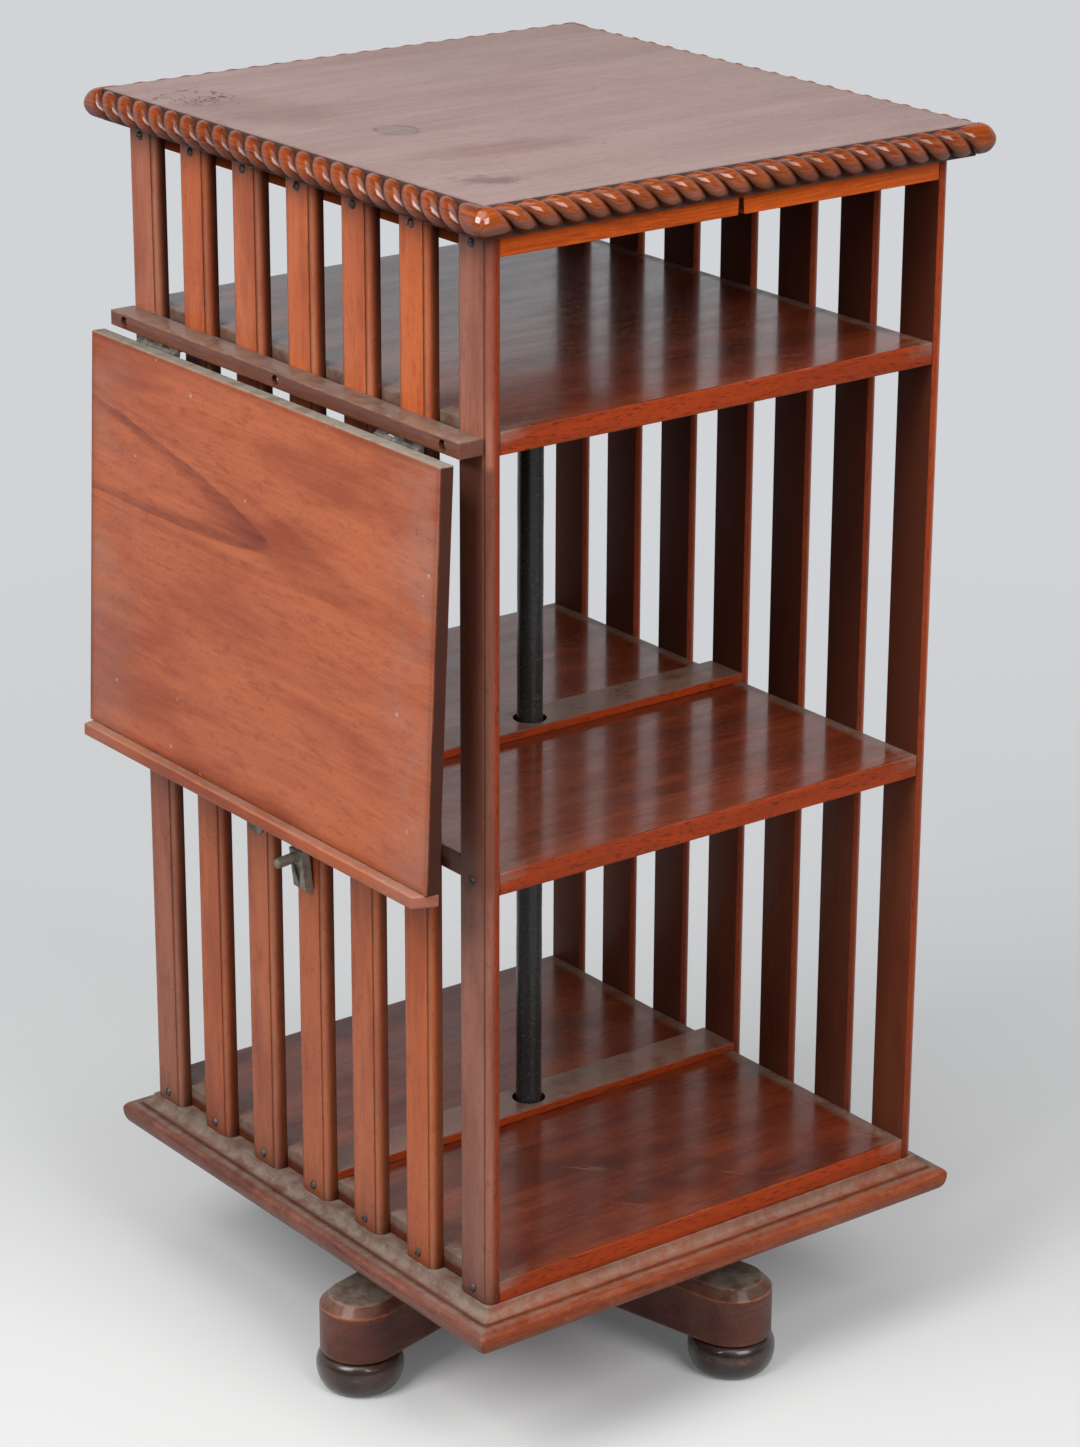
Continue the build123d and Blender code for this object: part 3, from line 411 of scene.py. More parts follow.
def put(kind, inputs, tree=None, **settings):
    """Adds a shader node to a tree, or to that of its inputs, and gives its outputs."""
    made = (tree or tree_of(inputs)).nodes.new("ShaderNode" + kind)
    for key, value in settings.items():
        setattr(made, key, value)
    return connect(made, inputs)


def maths(operation, *values):
    """Result of a Math node."""
    return put("Math", dict(enumerate(values)), operation=operation)[0]


def clamp(value):
    """A value kept between 0 and 1."""
    return put("Clamp", {0: value})[0]


def smooth(value, start, stop, low=0.0, high=1.0):
    """A value eased from low to high while it goes from start to stop."""
    ends = {"From Min": start, "From Max": stop, "To Min": low, "To Max": high}
    return put("MapRange", {"Value": value, **ends}, interpolation_type="SMOOTHSTEP")[0]


def vector(operation, first, second=(0.0, 0.0, 0.0), result=0):
    """Result of a Vector Math node."""
    return put("VectorMath", {0: first, 1: second}, operation=operation)[result]


def rgba(value):
    """A colour as red, green, blue and alpha; a wire stays as it is."""
    return value if isinstance(value, Wire) else (*value, 1.0)


def mix(factor, first, second, blend="MIX"):
    """Result of a colour Mix node."""
    return put("Mix", {0: factor, 6: rgba(first), 7: rgba(second)}, data_type="RGBA", blend_type=blend)[2]


def stained(base, mask, tint):
    """A colour that is multiplied by a tint where the mask says so."""
    return mix(mask, base, mix(1.0, base, tint, "MULTIPLY"))


def noise(place, stretch, detail=3.0, roughness=0.55):
    """Noise on a vector that is first stretched by three factors, or by one for all directions."""
    stretch = stretch if isinstance(stretch, tuple) else (stretch,) * 3
    scaled = vector("MULTIPLY", place, stretch)
    return put("TexNoise", {"Vector": scaled, "Scale": 1.0, "Detail": detail, "Roughness": roughness})[0]


def along_grain(place, run, across, detail=3.0, roughness=0.55):
    """Noise that is stretched by one factor along the grain and by another across it."""
    return noise(place, (run, across, across), detail, roughness)


def cells(place, scale):
    """Distance to the nearest of scattered points."""
    return put("TexVoronoi", {"Vector": place, "Scale": scale})["Distance"]


def start_group(name, inputs, outputs):
    """An empty shader group with named sockets: what it is given, and its end node."""
    tree = bpy.data.node_groups.new(name, "ShaderNodeTree")
    for way, sockets in (("INPUT", inputs), ("OUTPUT", outputs)):
        for key, kind in sockets.items():
            tree.interface.new_socket(key, in_out=way, socket_type="NodeSocket" + kind)
    return Wires(tree.nodes.new("NodeGroupInput")), tree.nodes.new("NodeGroupOutput")


def group(make, inputs):
    """Outputs of a shader group placed among its inputs; the group is made only the first time."""
    made = tree_of(inputs).nodes.new("ShaderNodeGroup")
    if make.__name__ not in bpy.data.node_groups:
        make(make.__name__)
    made.node_tree = bpy.data.node_groups[make.__name__]
    return connect(made, inputs)


def mahogany_grain(name):
    """Grain along the vector's X: slow wandering figure, long streaks, fine lines, short dark pores and
    the flecks that they make where the wood is cut along its edge."""
    given, end = start_group(
        name,
        {"Vector": "Vector", "Light": "Color", "Dark": "Color", "Figure": "Float", "Shift": "Float"},
        {"Color": "Color", "Height": "Float", "Streak": "Float", "Flecks": "Float"},
    )
    shift = given["Shift"]
    moved = vector("ADD", given["Vector"], put("CombineXYZ", {0: shift * 3.1, 1: shift * 1.7, 2: shift})[0])
    wander = (along_grain(moved, 2.0, 6.0, 2.0) - 0.5) * 0.05
    bent = vector("ADD", moved, put("CombineXYZ", {0: 0.0, 1: wander, 2: wander})[0])
    streak = smooth(along_grain(bent, 2.6, 95.0, 5.0, 0.62), 0.28, 0.72)
    fine = smooth(along_grain(bent, 9.0, 520.0), 0.3, 0.7)
    pores = smooth(along_grain(bent, 120.0, 2100.0, 1.0), 0.60, 0.74)
    figure = smooth(along_grain(bent, 3.2, 15.0, 2.0), 0.36, 0.66)
    tone = streak * 0.36 + fine * 0.5 + 0.07 + (figure - 0.5) * given["Figure"]
    plain = mix(clamp(tone), given["Dark"], given["Light"])
    connect(
        end,
        {
            "Color": stained(plain, pores * 0.55, (0.3, 0.22, 0.2)),
            "Height": fine * 0.3 - pores * 0.8,
            "Streak": streak,
            "Flecks": smooth(along_grain(bent, 95.0, 760.0, 2.0), 0.54, 0.68),
        },
    )


def edge_wear(name):
    """Mask of rubbed places: the wear attribute broken up by patchy noise at two scales."""
    given, end = start_group(name, {"Vector": "Vector", "Wear": "Float", "Level": "Float"}, {"Mask": "Float"})
    broken = noise(given["Vector"], 26.0, 4.0, 0.65) * 1.3 + noise(given["Vector"], 260.0, 2.0) * 0.5 - 0.9
    connect(end, {"Mask": smooth(given["Wear"] * (broken + given["Level"]), 0.25, 0.85)})


def settled_dust(name):
    """Mask of dust, and of the painted highlight line on the slats' beads: thick where the attribute says so, thin on
    other faces that look up.
    """
    given, end = start_group(name, {"Vector": "Vector", "Ledge": "Float", "Thin": "Float"}, {"Mask": "Float"})
    place = given["Vector"]
    upward = smooth(put("SeparateXYZ", {0: put("TexCoord", {}, place.tree)["Normal"]})[2], 0.45, 0.95)
    cloud = smooth(noise(place, 75.0, 5.0, 0.68), 0.32, 0.66)
    speck = smooth(noise(place, 1300.0, 2.0), 0.35, 0.75)
    both = given["Ledge"] * (cloud * 0.62 + 0.42) + upward * given["Thin"] * cloud
    connect(end, {"Mask": clamp(both * (speck * 0.5 + 0.6))})


def old_scuffs(name):
    """Fine crossing scratches, small dents and pinholes, as a height and a mask."""
    given, end = start_group(name, {"Vector": "Vector", "Amount": "Float"}, {"Height": "Float", "Mask": "Float"})
    place, depth = given["Vector"], given["Amount"]
    turns = ((0.2, 0.5, 0.4), (-0.6, 0.3, 1.2), (0.4, -0.8, 2.1))
    turned = [put("Mapping", {"Vector": place, "Rotation": turn})[0] for turn in turns]
    one, two, three = (smooth(along_grain(way, 7.0, 260.0, 1.0), 0.70, 0.78) for way in turned)
    lines = maths("MAXIMUM", maths("MAXIMUM", one, two), three)
    pins = smooth(cells(place, 75.0), 0.10, 0.05) * smooth(noise(place, 19.0, 1.0), 0.56, 0.60)
    dents = smooth(noise(place, 60.0, 2.0), 0.66, 0.80)
    mask = (lines * 0.5 + pins) * depth
    connect(end, {"Mask": clamp(mask), "Height": (dents * -0.6 - mask * 0.8) * depth})


def polish_clouds(name):
    """Roughness of hand-rubbed polish: a base level with cloudy patches and fine smears."""
    given, end = start_group(name, {"Vector": "Vector", "Base": "Float", "Spread": "Float"}, {"Roughness": "Float"})
    mean = noise(given["Vector"], 11.0, 4.0, 0.6) * 0.6 + along_grain(given["Vector"], 40.0, 190.0) * 0.4 - 0.5
    connect(end, {"Roughness": mean * given["Spread"] + given["Base"]})


def old_polish(name):
    """Colour of polish that has darkened unevenly: long deeper patches, and small browner smudges."""
    given, end = start_group(name, {"Vector": "Vector", "Color": "Color", "Amount": "Float"}, {"Color": "Color"})
    place, plain, much = given["Vector"], given["Color"], given["Amount"]
    deep = smooth(along_grain(place, 4.5, 19.0, 4.0, 0.6), 0.42, 0.70)
    smudge = smooth(along_grain(place, 38.0, 130.0, 4.0, 0.65), 0.50, 0.74)
    base = stained(plain, deep * much, (0.60, 0.44, 0.42))
    connect(end, {"Color": mix(smudge * much, base, mix(1.0, plain, (0.70, 0.60, 0.62), "MULTIPLY"))})


def scratched_polish(place, base, roughness):
    """Polish that books slid over: wide dark patches, and fine pale scratches askew to the grain."""
    patch = smooth(along_grain(place, 7.0, 10.0, 4.0, 0.6), 0.48, 0.66)
    base = stained(base, patch * 0.65, (0.42, 0.34, 0.32))
    turned = put("Mapping", {"Vector": place, "Rotation": (0.0, 0.0, 0.9)})[0]
    line = smooth(along_grain(turned, 9.0, 420.0, 1.0), 0.70, 0.77) * smooth(noise(place, 21.0, 2.0), 0.50, 0.62)
    return mix(line * 0.5, base, (0.30, 0.21, 0.16)), patch * 0.08 + roughness


def flame_figure(place, base, roughness):
    """Flame figure of the reading board: dark bands between nested parabolas that open along the grain
    from a tip, made uneven by noise; hazy polish towards the two ends, and small pale nicks."""
    _, y, z = put("SeparateXYZ", {0: place})
    along = y + 0.024 + (noise(place, (12.0, 12.0, 26.0), 4.0) - 0.5) * 0.05
    across = z - 0.770 - along * 0.09
    field = along - across * across / 0.0062
    fibre = smooth(noise(place, (60.0, 12.0, 300.0)), 0.3, 0.7, 0.55, 1.0)
    band = smooth(field, -0.004, 0.008) * smooth(field, 0.120, 0.045)
    second = smooth(field, -0.150, -0.120) * smooth(field, -0.055, -0.095)
    mask = (second * 0.35 + band) * fibre * 0.9 * smooth(z, 0.60, 0.72)
    base = stained(base, mask, (0.52, 0.42, 0.46))
    cloud = noise(place, 16.0, 5.0, 0.65)
    ends = smooth(abs(y), 0.15, 0.25) * smooth(cloud, 0.38, 0.62)
    base = mix(ends * 0.32, base, (0.30, 0.20, 0.175))
    nicks = smooth(cells(place, 34.0), 0.075, 0.045) * smooth(cloud, 0.50, 0.54)
    return mix(nicks * 0.7, base, (0.42, 0.36, 0.36)), ends * 0.12 + roughness


def top_marks(place, base, roughness):
    """Marks on the top: a ring, ink strokes along the level lines of a noise, a dark stain by the near
    corner, a browner patch, small pale nicks and the redder border beside the rope."""
    _, high = box("top_board")
    ragged = noise(place, 55.0, 4.0, 0.65)

    def spot(centre, radii, turn=0.0):
        """Distance from a centre on the top, in units of an ellipse's two radii, turned by an angle."""
        pose = {"Location": (*centre, high[2]), "Rotation": (0.0, 0.0, turn), "Scale": (*radii, 1.0)}
        return vector("LENGTH", put("Mapping", {"Vector": place, **pose}, vector_type="TEXTURE")[0], result="Value")

    def blot(centre, radii, turn=0.0, rag=0.9):
        """Mask of a patch with a ragged border."""
        return smooth(ragged * rag + spot(centre, radii, turn) - rag / 2, 1.05, 0.35)

    def stroke(stretch, level):
        """Mask of the lines where a noise has one level."""
        return smooth(abs(noise(place, stretch, 1.0) - level), 0.017, 0.006)

    brown = mix(1.0, base, (0.74, 0.62, 0.60), "MULTIPLY")
    base = mix(blot((-0.115, -0.120), (0.110, 0.030), -0.15) * 0.65, base, brown)
    base = mix(blot((-0.190, 0.105), (0.055, 0.110), 0.3) * 0.45, base, brown)
    ink = mix(1.0, base, (0.22, 0.22, 0.24), "MULTIPLY")
    strokes = maths("MAXIMUM", stroke((70.0, 34.0, 50.0), 0.5), stroke((38.0, 80.0, 50.0), 0.46))
    written = strokes * blot((-0.207, 0.190), (0.046, 0.056), 0.4, 0.7)
    base = mix(written * 0.95, base, ink)
    base = mix(blot((-0.196, -0.201), (0.036, 0.017), -0.65, 2.2) * 0.5, base, ink)
    ring = spot((-0.1465, -0.0140), (0.0175, 0.0205))
    rim = smooth(abs(ring - 0.92), 0.20, 0.03) * smooth(ragged, 0.38, 0.60, 0.15, 0.8)
    base = stained(base, maths("MAXIMUM", rim, smooth(ring, 1.0, 0.85) * 0.28), (0.42, 0.50, 0.50))
    nicks = smooth(cells(place, 26.0), 0.055, 0.030) * smooth(ragged, 0.52, 0.56)
    base = mix(nicks * 0.6, base, (0.50, 0.40, 0.35))
    x, y, _ = put("SeparateXYZ", {0: place})
    beside = maths("MAXIMUM", abs(x) - (high[0] - 0.0065), abs(y) - (high[1] - 0.0065))
    border = smooth(ragged * 0.004 + beside, 0.002, 0.010)
    return mix(border * 0.25, base, colours().rope_dark), written * 0.1 + roughness


RUNS = {"x": (0.0, 0.0, 0.0), "y": (0.0, 0.0, -pi / 2), "z": (0.0, pi / 2, 0.0)}

# What a wood has where its own entry doesn't say it. Tone is how far pieces differ; coat, gloss and film are
# the weight, roughness and refraction of the polish; shine and tint are the wood's own gloss and its colour.
PLAIN_WOOD = dict(
    thin_dust=0.0, tone=0.0, gloss=0.14, shine=0.3, clouds=0.5, waves=0.0, marks=None, tint=(1.0, 1.0, 1.0), film=1.5
)
WOODS = {
    "top_wood": dict(
        light="top_light", dark="top_dark", figure=0.3, rough=0.46, coat=0.05, wear=0.2, scuffs=1.0,
        shine=0.14, clouds=0.25, marks=top_marks,
    ),
    "rope_wood": dict(
        light="rope_light", dark="rope_dark", figure=0.25, rough=0.36, coat=1.0, wear=0.2, scuffs=0.3,
        gloss=0.13, shine=0.05, clouds=0.3, film=1.7,
    ),
    "rail_wood": dict(
        light="rail_light", dark="rail_dark", figure=0.3, rough=0.34, coat=0.05, wear=0.1, scuffs=0.5,
        shine=0.02, clouds=0.15,
    ),
    "shelf_wood": dict(
        light="shelf_light", dark="shelf_dark", figure=0.5, rough=0.17, coat=0.45, wear=0.25, scuffs=0.9,
        thin_dust=0.04, gloss=0.10, clouds=0.95, waves=2.2, tint=(1.0, 0.72, 0.55),
    ),
    "worn_shelf_wood": dict(
        light="shelf_light", dark="shelf_dark", figure=0.5, rough=0.26, coat=0.3, wear=0.25, scuffs=1.0,
        thin_dust=0.04, gloss=0.15, shine=0.25, clouds=1.0, waves=2.2, tint=(1.28, 0.90, 0.66), marks=scratched_polish,
    ),
    "slat_wood": dict(
        light="slat_light", dark="slat_dark", figure=0.3, rough=0.30, coat=0.22, wear=0.4, scuffs=0.9,
        tone=0.40, shine=0.14, clouds=0.8, waves=2.0,
    ),
    "plinth_wood": dict(
        light="plinth_light", dark="plinth_dark", figure=0.3, rough=0.40, coat=0.2, wear=0.35, scuffs=0.8,
        thin_dust=0.25, tone=0.6, shine=0.08, clouds=0.9,
    ),
    "lectern_wood": dict(
        light="reading_light", dark="reading_dark", figure=0.22, rough=0.36, coat=0.15, wear=0.5, scuffs=1.0,
        shine=0.2, clouds=0.85, waves=3.0, marks=flame_figure,
    ),
    "hinge_rail_wood": dict(
        light="hinge_rail_light", dark="hinge_rail_dark", figure=0.3, rough=0.30, coat=0.5, wear=0.4, scuffs=0.7,
        thin_dust=0.15, shine=0.15, clouds=0.7,
    ),
    "foot_wood": dict(
        light="foot_light", dark="foot_dark", figure=0.4, rough=0.40, coat=0.3, wear=0.8, scuffs=0.8,
        thin_dust=0.5, shine=0.15, clouds=0.8,
    ),
    "bun_wood": dict(
        light="bun_worn", dark="bun", figure=0.8, rough=0.30, coat=0.6, wear=0.4, scuffs=0.8,
        thin_dust=0.2, shine=0.4,
    ),
}
PLAIN_METAL = dict(grain=90.0, start=0.35)
METALS = {
    "speckled_iron": dict(
        tint="iron", rust="iron_speck", metallic=0.25, rough=0.26, patches=0.7, grain=300.0, start=0.53
    ),
    "dull_steel": dict(tint="steel", rust="steel_rust", metallic=0.6, rough=0.42, patches=0.8),
    "rubbed_steel": dict(tint="rail_screw", rust="rail_screw_rust", metallic=0.1, rough=0.4, patches=0.8),
    "dusty_hinge": dict(tint="steel", rust="stay", metallic=0.7, rough=0.45, patches=0.9),
    "browned_stay": dict(tint="stay", rust="stay_dark", metallic=0.35, rough=0.42, patches=0.8),
}


def start_material(name):
    """A material with only a Principled shader: the material, the shader and the piece's own coordinates."""
    material = bpy.data.materials.new(name)
    material.use_nodes = True
    tree = material.node_tree
    tree.nodes.clear()
    shader = tree.nodes.new("ShaderNodeBsdfPrincipled")
    put("OutputMaterial", {0: Wire(shader.outputs[0])})
    return material, shader, put("TexCoord", {}, tree)["Object"]


def attributes(tree, *names):
    """Point attributes of the piece."""
    return [put("Attribute", {}, tree, attribute_name=name)["Fac"] for name in names]


def wood(name, run="x"):
    """Polished mahogany with the grain along one axis: grain, piece-to-piece tone, dark quirks, painted shade on inner
    faces, undersides and sides, rubbed edges, marks of use, scratches, dust and a painted highlight line, over a thin
    coat of polish."""
    made = bpy.data.materials.get(f"{name}_{run}")
    if made:
        return made
    paint, look = colours(), {**PLAIN_WOOD, **WOODS[name]}
    material, shader, place = start_material(f"{name}_{run}")
    along = put("Mapping", {"Vector": place, "Rotation": RUNS[run]})[0]
    tone, edge, shade, wear, dirt, ledge = attributes(place.tree, "tone", "edge", "shade", "wear", "dirt", "dust")
    light, dark = (rgba(getattr(paint, look[key])) for key in ("light", "dark"))
    grain = group(
        mahogany_grain, {"Vector": along, "Light": light, "Dark": dark, "Figure": look["figure"], "Shift": tone}
    )
    base, spread = grain["Color"], look["tone"]
    if spread:
        change = {"Saturation": tone * (spread / 2) + (1.0 - spread / 4), "Value": tone * spread + (1.0 - spread / 2)}
        base = put("HueSaturation", {"Color": base, **change})[0]
    base = group(old_polish, {"Vector": along, "Color": base, "Amount": look["clouds"]})["Color"]
    roughness = group(polish_clouds, {"Vector": place, "Base": look["rough"], "Spread": 0.28})["Roughness"]
    if look["marks"]:
        base, roughness = look["marks"](place, base, roughness)
    bright = mix(grain["Streak"], paint.edge_dark, paint.edge)
    base = mix(edge, base, stained(bright, grain["Flecks"] * 0.75, (0.22, 0.16, 0.16)))
    base = mix(shade, base, mix(0.93, base, paint.inside))
    rubbed = group(edge_wear, {"Vector": place, "Wear": wear, "Level": look["wear"]})["Mask"]
    scuff = group(old_scuffs, {"Vector": place, "Amount": look["scuffs"]})
    dust = group(settled_dust, {"Vector": place, "Ledge": ledge, "Thin": look["thin_dust"]})["Mask"]
    base = mix(rubbed * 0.5, base, paint.worn)
    # Darkening mark: grime in quirks and slots, and painted shade on the rope's bead flanks, the top's sides, the
    # reading board's sides and the slats behind the board.
    base = mix(dirt * 0.9, base, paint.dirt)
    base = mix(scuff["Mask"] * 0.45, base, paint.dirt)
    # Settled dust, and the painted highlight line on the slats' beads.
    base = mix(dust * 0.85, base, paint.dust)
    height = scuff["Height"] * 2.0 + grain["Height"]
    if look["waves"]:
        height = along_grain(along, 14.0, 34.0) * look["waves"] + height
    bare = (1.0 - dust) * (1.0 - shade * 0.9) * (1.0 - edge * 0.85) * (1.0 - dirt * 0.9)
    rubbed_thin = smooth(along_grain(along, 9.0, 42.0, 4.0, 0.6), 0.32, 0.66, 0.45, 1.0)
    connect(
        shader,
        {
            "Base Color": base,
            "Roughness": clamp(roughness + dust * 0.45 + maths("MAXIMUM", edge, shade) * 0.4),
            "Coat Weight": bare * rubbed_thin * look["coat"],
            "Normal": put("Bump", {"Height": height, "Strength": 0.25, "Distance": 0.00035})[0],
            "Specular IOR Level": look["shine"],
            "Specular Tint": rgba(look["tint"]),
            "Coat Roughness": look["gloss"],
            "Coat IOR": look["film"],
        },
    )
    return material


def metal(name):
    """Dull metal: a tint broken by patches of a second colour, pitted, dusty where it looks up."""
    made = bpy.data.materials.get(name)
    if made:
        return made
    paint, look = colours(), {**PLAIN_METAL, **METALS[name]}
    material, shader, place = start_material(name)
    dirt, ledge = attributes(place.tree, "dirt", "dust")
    cloud = smooth(noise(place, look["grain"], 5.0, 0.65), look["start"], look["start"] + 0.33)
    pits = smooth(noise(place, 900.0, 2.0), 0.56, 0.72)
    base = mix(cloud * look["patches"], getattr(paint, look["tint"]), getattr(paint, look["rust"]))
    base = stained(base, pits * 0.5, (0.35, 0.3, 0.28))
    base = mix(dirt * 0.9, base, paint.dirt)
    dust = group(settled_dust, {"Vector": place, "Ledge": ledge, "Thin": 0.25})["Mask"]
    height = cloud * (36.0 / look["grain"]) - pits
    connect(
        shader,
        {
            "Base Color": mix(dust * 0.6, base, paint.dust),
            "Roughness": cloud * 0.25 + look["rough"],
            "Metallic": look["metallic"],
            "Normal": put("Bump", {"Height": height, "Strength": 0.35, "Distance": 0.0003})[0],
        },
    )
    return material


# Pieces


class BOOKCASE_OT_top(bpy.types.Operator):
    """Top board and the carved rope round it"""

    bl_idname = "bookcase.top"
    bl_label = "Top and rope edge"

    def execute(self, context):
        low, high = box("top_board")
        # The top's sides under the rope are darkened: painted shade.
        top = board("faded_top", low, high, 2, 0.0008, dusty="sides", tone=0.31, edge=0.0)
        dress(top, "case", "top_wood", wood("top_wood"), "top_board")
        middle, half = (low + high) / 2, (high - low) / 2
        for side, outward in SIDES.items():
            beads = sizes().short_beads if outward[1] else sizes().long_beads
            rope_low, rope_high = box(f"rope_{side}")
            radius = (rope_high[2] - rope_low[2]) / 2
            run, stand = half[:2] if outward[1] else half[1::-1]
            origin = np.array((middle[0], middle[1], rope_low[2] + radius)) + outward * stand
            rows, marks = rope(run, radius, beads)
            rows = lay(rows, origin, np.cross(UP, outward), outward, UP)
            piece = skin(f"carved_rope_{side}", rows, tone=rng.random(), **marks)
            dress(piece, "case", "rope_wood", wood("rope_wood", "x" if outward[1] else "y"), f"rope_{side}")
        return {"FINISHED"}


def rope(run, radius, beads):
    """Loops of one carved rope strip, along, out and up from the middle of the board's edge.

    The half-round section has a radius that falls to a groove between beads: groove floor plus a
    rounded hump over each bead, which dies away towards the section's lower end and a little towards
    its upper one, so that each bead is an egg of its own. Every groove is carried along the strip in
    proportion to the angle round the section, which twists it. Each plain corner bead starts at the
    last twisted groove and runs straight into the mitre at 45 degrees, whose outer corner is rounded
    on a small arc.
    """
    size = sizes()
    corner, groove = size.corner_bead, size.rope_groove
    corner_rise = 0.011  # length over which a corner bead rises from its groove
    pitch = 2 * (run - corner) / beads
    within = np.array((0, 0.02, 0.06, 0.13, 0.23, 0.36, 0.5, 0.64, 0.77, 0.87, 0.94, 0.98))
    angle = np.linspace(-pi / 2, pi / 2, 21)
    round_end = np.clip(np.cos(angle), 0, 1) ** 0.30
    round_end = np.where(angle > 0, 0.70 + 0.30 * round_end, round_end)
    slant = size.rope_twist * pitch * angle / pi

    def section(hump):
        """Out and up of the section's points for each height of the hump along the strip."""
        wide = radius * (1 - groove + groove * hump[:, None] * round_end)
        return wide * np.cos(angle), wide * np.sin(angle)

    hump = np.tile(np.sqrt(1 - np.abs(2 * within - 1) ** 1.8), beads)
    places = (np.arange(beads)[:, None] + within).ravel()
    along = corner - run + pitch * places[:, None] - slant
    body = np.stack([along, *section(hump)], -1)
    straight = np.linspace(0, 1, 9)[:, None]
    end_hump = np.sqrt(1 - (1 - np.clip(straight[:, 0] * corner / corner_rise, 0, 1)) ** 2)
    out, up = section(end_hump)
    arc = np.linspace(0, pi / 4, 6)[:, None]
    bend = np.minimum(size.corner_round, 0.85 * out[-1])
    arc_out = out[-1] - bend + bend * np.cos(arc)
    arc_up = np.broadcast_to(up[-1], arc_out.shape)
    ends = []
    for sign in (-1, 1):
        first = np.stack([sign * (run - corner + straight * corner) - slant * (1 - straight), out, up], -1)
        turned = np.stack([sign * (run + out[-1] - bend + bend * np.sin(arc)), arc_out, arc_up], -1)
        ends.append(np.concatenate([first, turned]))
    rows = np.concatenate([ends[0][::-1], body[1:], ends[1]])
    end_deep = np.r_[end_hump, np.ones(len(arc))]
    deep = np.r_[end_deep[::-1], hump[1:], end_deep][:, None] * round_end**0.5
    # Painted shade: the grooves and the flanks of the beads are darkened, and so is the lower half of the section;
    # settled dust lies in the upper grooves.
    return rows, {
        "dirt": np.clip(1.16 - deep * 1.16, 0, 1) ** 0.7,
        "dust": np.clip(0.9 - deep * 1.7, 0, 1) * np.clip(np.sin(angle) * 2.5 - 1.2, 0, 1) * 0.9,
        "shade": np.clip(-np.sin(angle) * 1.3 - 0.15, 0, 1) * 0.8 * np.ones_like(deep),
    }


class BOOKCASE_OT_case(bpy.types.Operator):
    """Shelves, battens and the rails under the top"""

    bl_idname = "bookcase.case"
    bl_label = "Shelves and rails"

    def execute(self, context):
        size = sizes()
        arris, hole, around = size.arris, size.column_hole, 14
        for level in ("bottom", "middle", "upper"):
            piece = board(
                f"polished_shelf_{level}", *box(f"{level}_shelf"), 2, arris,
                0.0 if level == "upper" else hole, around, "walls", tone=rng.random(),
            )
            finish = wood("worn_shelf_wood" if level == "bottom" else "shelf_wood")
            dress(piece, "case", "shelf_wood", finish, f"{level}_shelf")
        for level in ("bottom", "middle"):
            name, node = f"polished_batten_{level}", f"{level}_batten"
            piece = board(name, *box(node), 2, arris, hole, around, "top", tone=rng.random())
            dress(piece, "case", "shelf_wood", wood("shelf_wood"), node)
        for side, axis, run in (("back", 1, "x"), ("left", 0, "y"), ("right", 0, "y")):
            node = f"top_rail_{side}"
            piece = board(f"polished_rail_{side}", *box(node), axis, arris, tone=rng.random(), shade=0.9)
            dress(piece, "case", "rail_wood", wood("rail_wood", run), node)
        piece = split_rail("polished_rail_front", *box("top_rail_front"))
        dress(piece, "case", "rail_wood", wood("rail_wood"), "top_rail_front")
        return {"FINISHED"}


def split_rail(name, low, high):
    """The front rail: its rounded section carried along it, with the underside lifted in a broken gap
    whose height falls off in jagged steps to both sides of the split."""
    arris, depth = sizes().arris, sizes().split_depth
    split = 0.013  # place of the gap along the rail
    steps = np.array((-6.0, -3.4, -3.1, -2.6, -2.3, -1.2, -0.9, 0.6, 1.0, 2.2, 2.5, 3.2, 4.8)) / 1000
    lift = np.array((0, 0, 0.35, 0.3, 0.9, 1.0, 0.86, 0.95, 1.0, 0.72, 0.3, 0.05, 0)) * depth
    places = np.r_[low[0], low[0] + 0.001, split + steps, high[0] - 0.001, high[0]]
    lift = np.r_[0, 0, lift, 0, 0][:, None]
    shrink = np.r_[0.0008, np.zeros(len(places) - 2), 0.0008]
    _, half_y, half_z = (high - low) / 2
    _, middle_y, middle_z = (low + high) / 2
    y, z = np.moveaxis(rectangle(half_y - shrink, half_z - shrink, np.full(len(places), arris)), -1, 0)
    under = z < 0
    along = np.broadcast_to(places[:, None], y.shape)
    rows = np.stack([along, middle_y + y, middle_z + z + np.where(under, lift, 0)], -1)
    edge = np.abs(np.abs(z) - half_z) < arris
    return skin(name, rows, tone=0.2, wear=edge * 0.9, dirt=(lift > 0.2 * depth) * under * 0.8)


class BOOKCASE_OT_slats(bpy.types.Operator):
    """The fourteen moulded slats"""

    bl_idname = "bookcase.slats"
    bl_label = "Slats"

    def execute(self, context):
        tones = {"left": (0.15, 0.65, 0.50, 0.62, 0.60, 0.75, -0.25), "right": (0.45, 0.7, 0.3, 0.6, 0.5, 0.35, 0.55)}
        for wall, out in WALLS.items():
            for number, tone in enumerate(tones[wall], start=1):
                node = f"slat_{wall}_{number}"
                low, high = box(node)
                thick, width, tall = high - low
                dark = (wall == "left" and number > 1, wall == "left" and number < 7)
                rows, marks = slat(width, thick, tall, dark)
                origin = (low[0] if out > 0 else high[0], (low[1] + high[1]) / 2, low[2])
                piece = skin(f"moulded_{node}", lay(rows, origin, (out, 0, 0), (0, 1, 0), UP), tone=tone, **marks)
                dress(piece, "case", "slat_wood", wood("slat_wood", "z"), node)
        return {"FINISHED"}


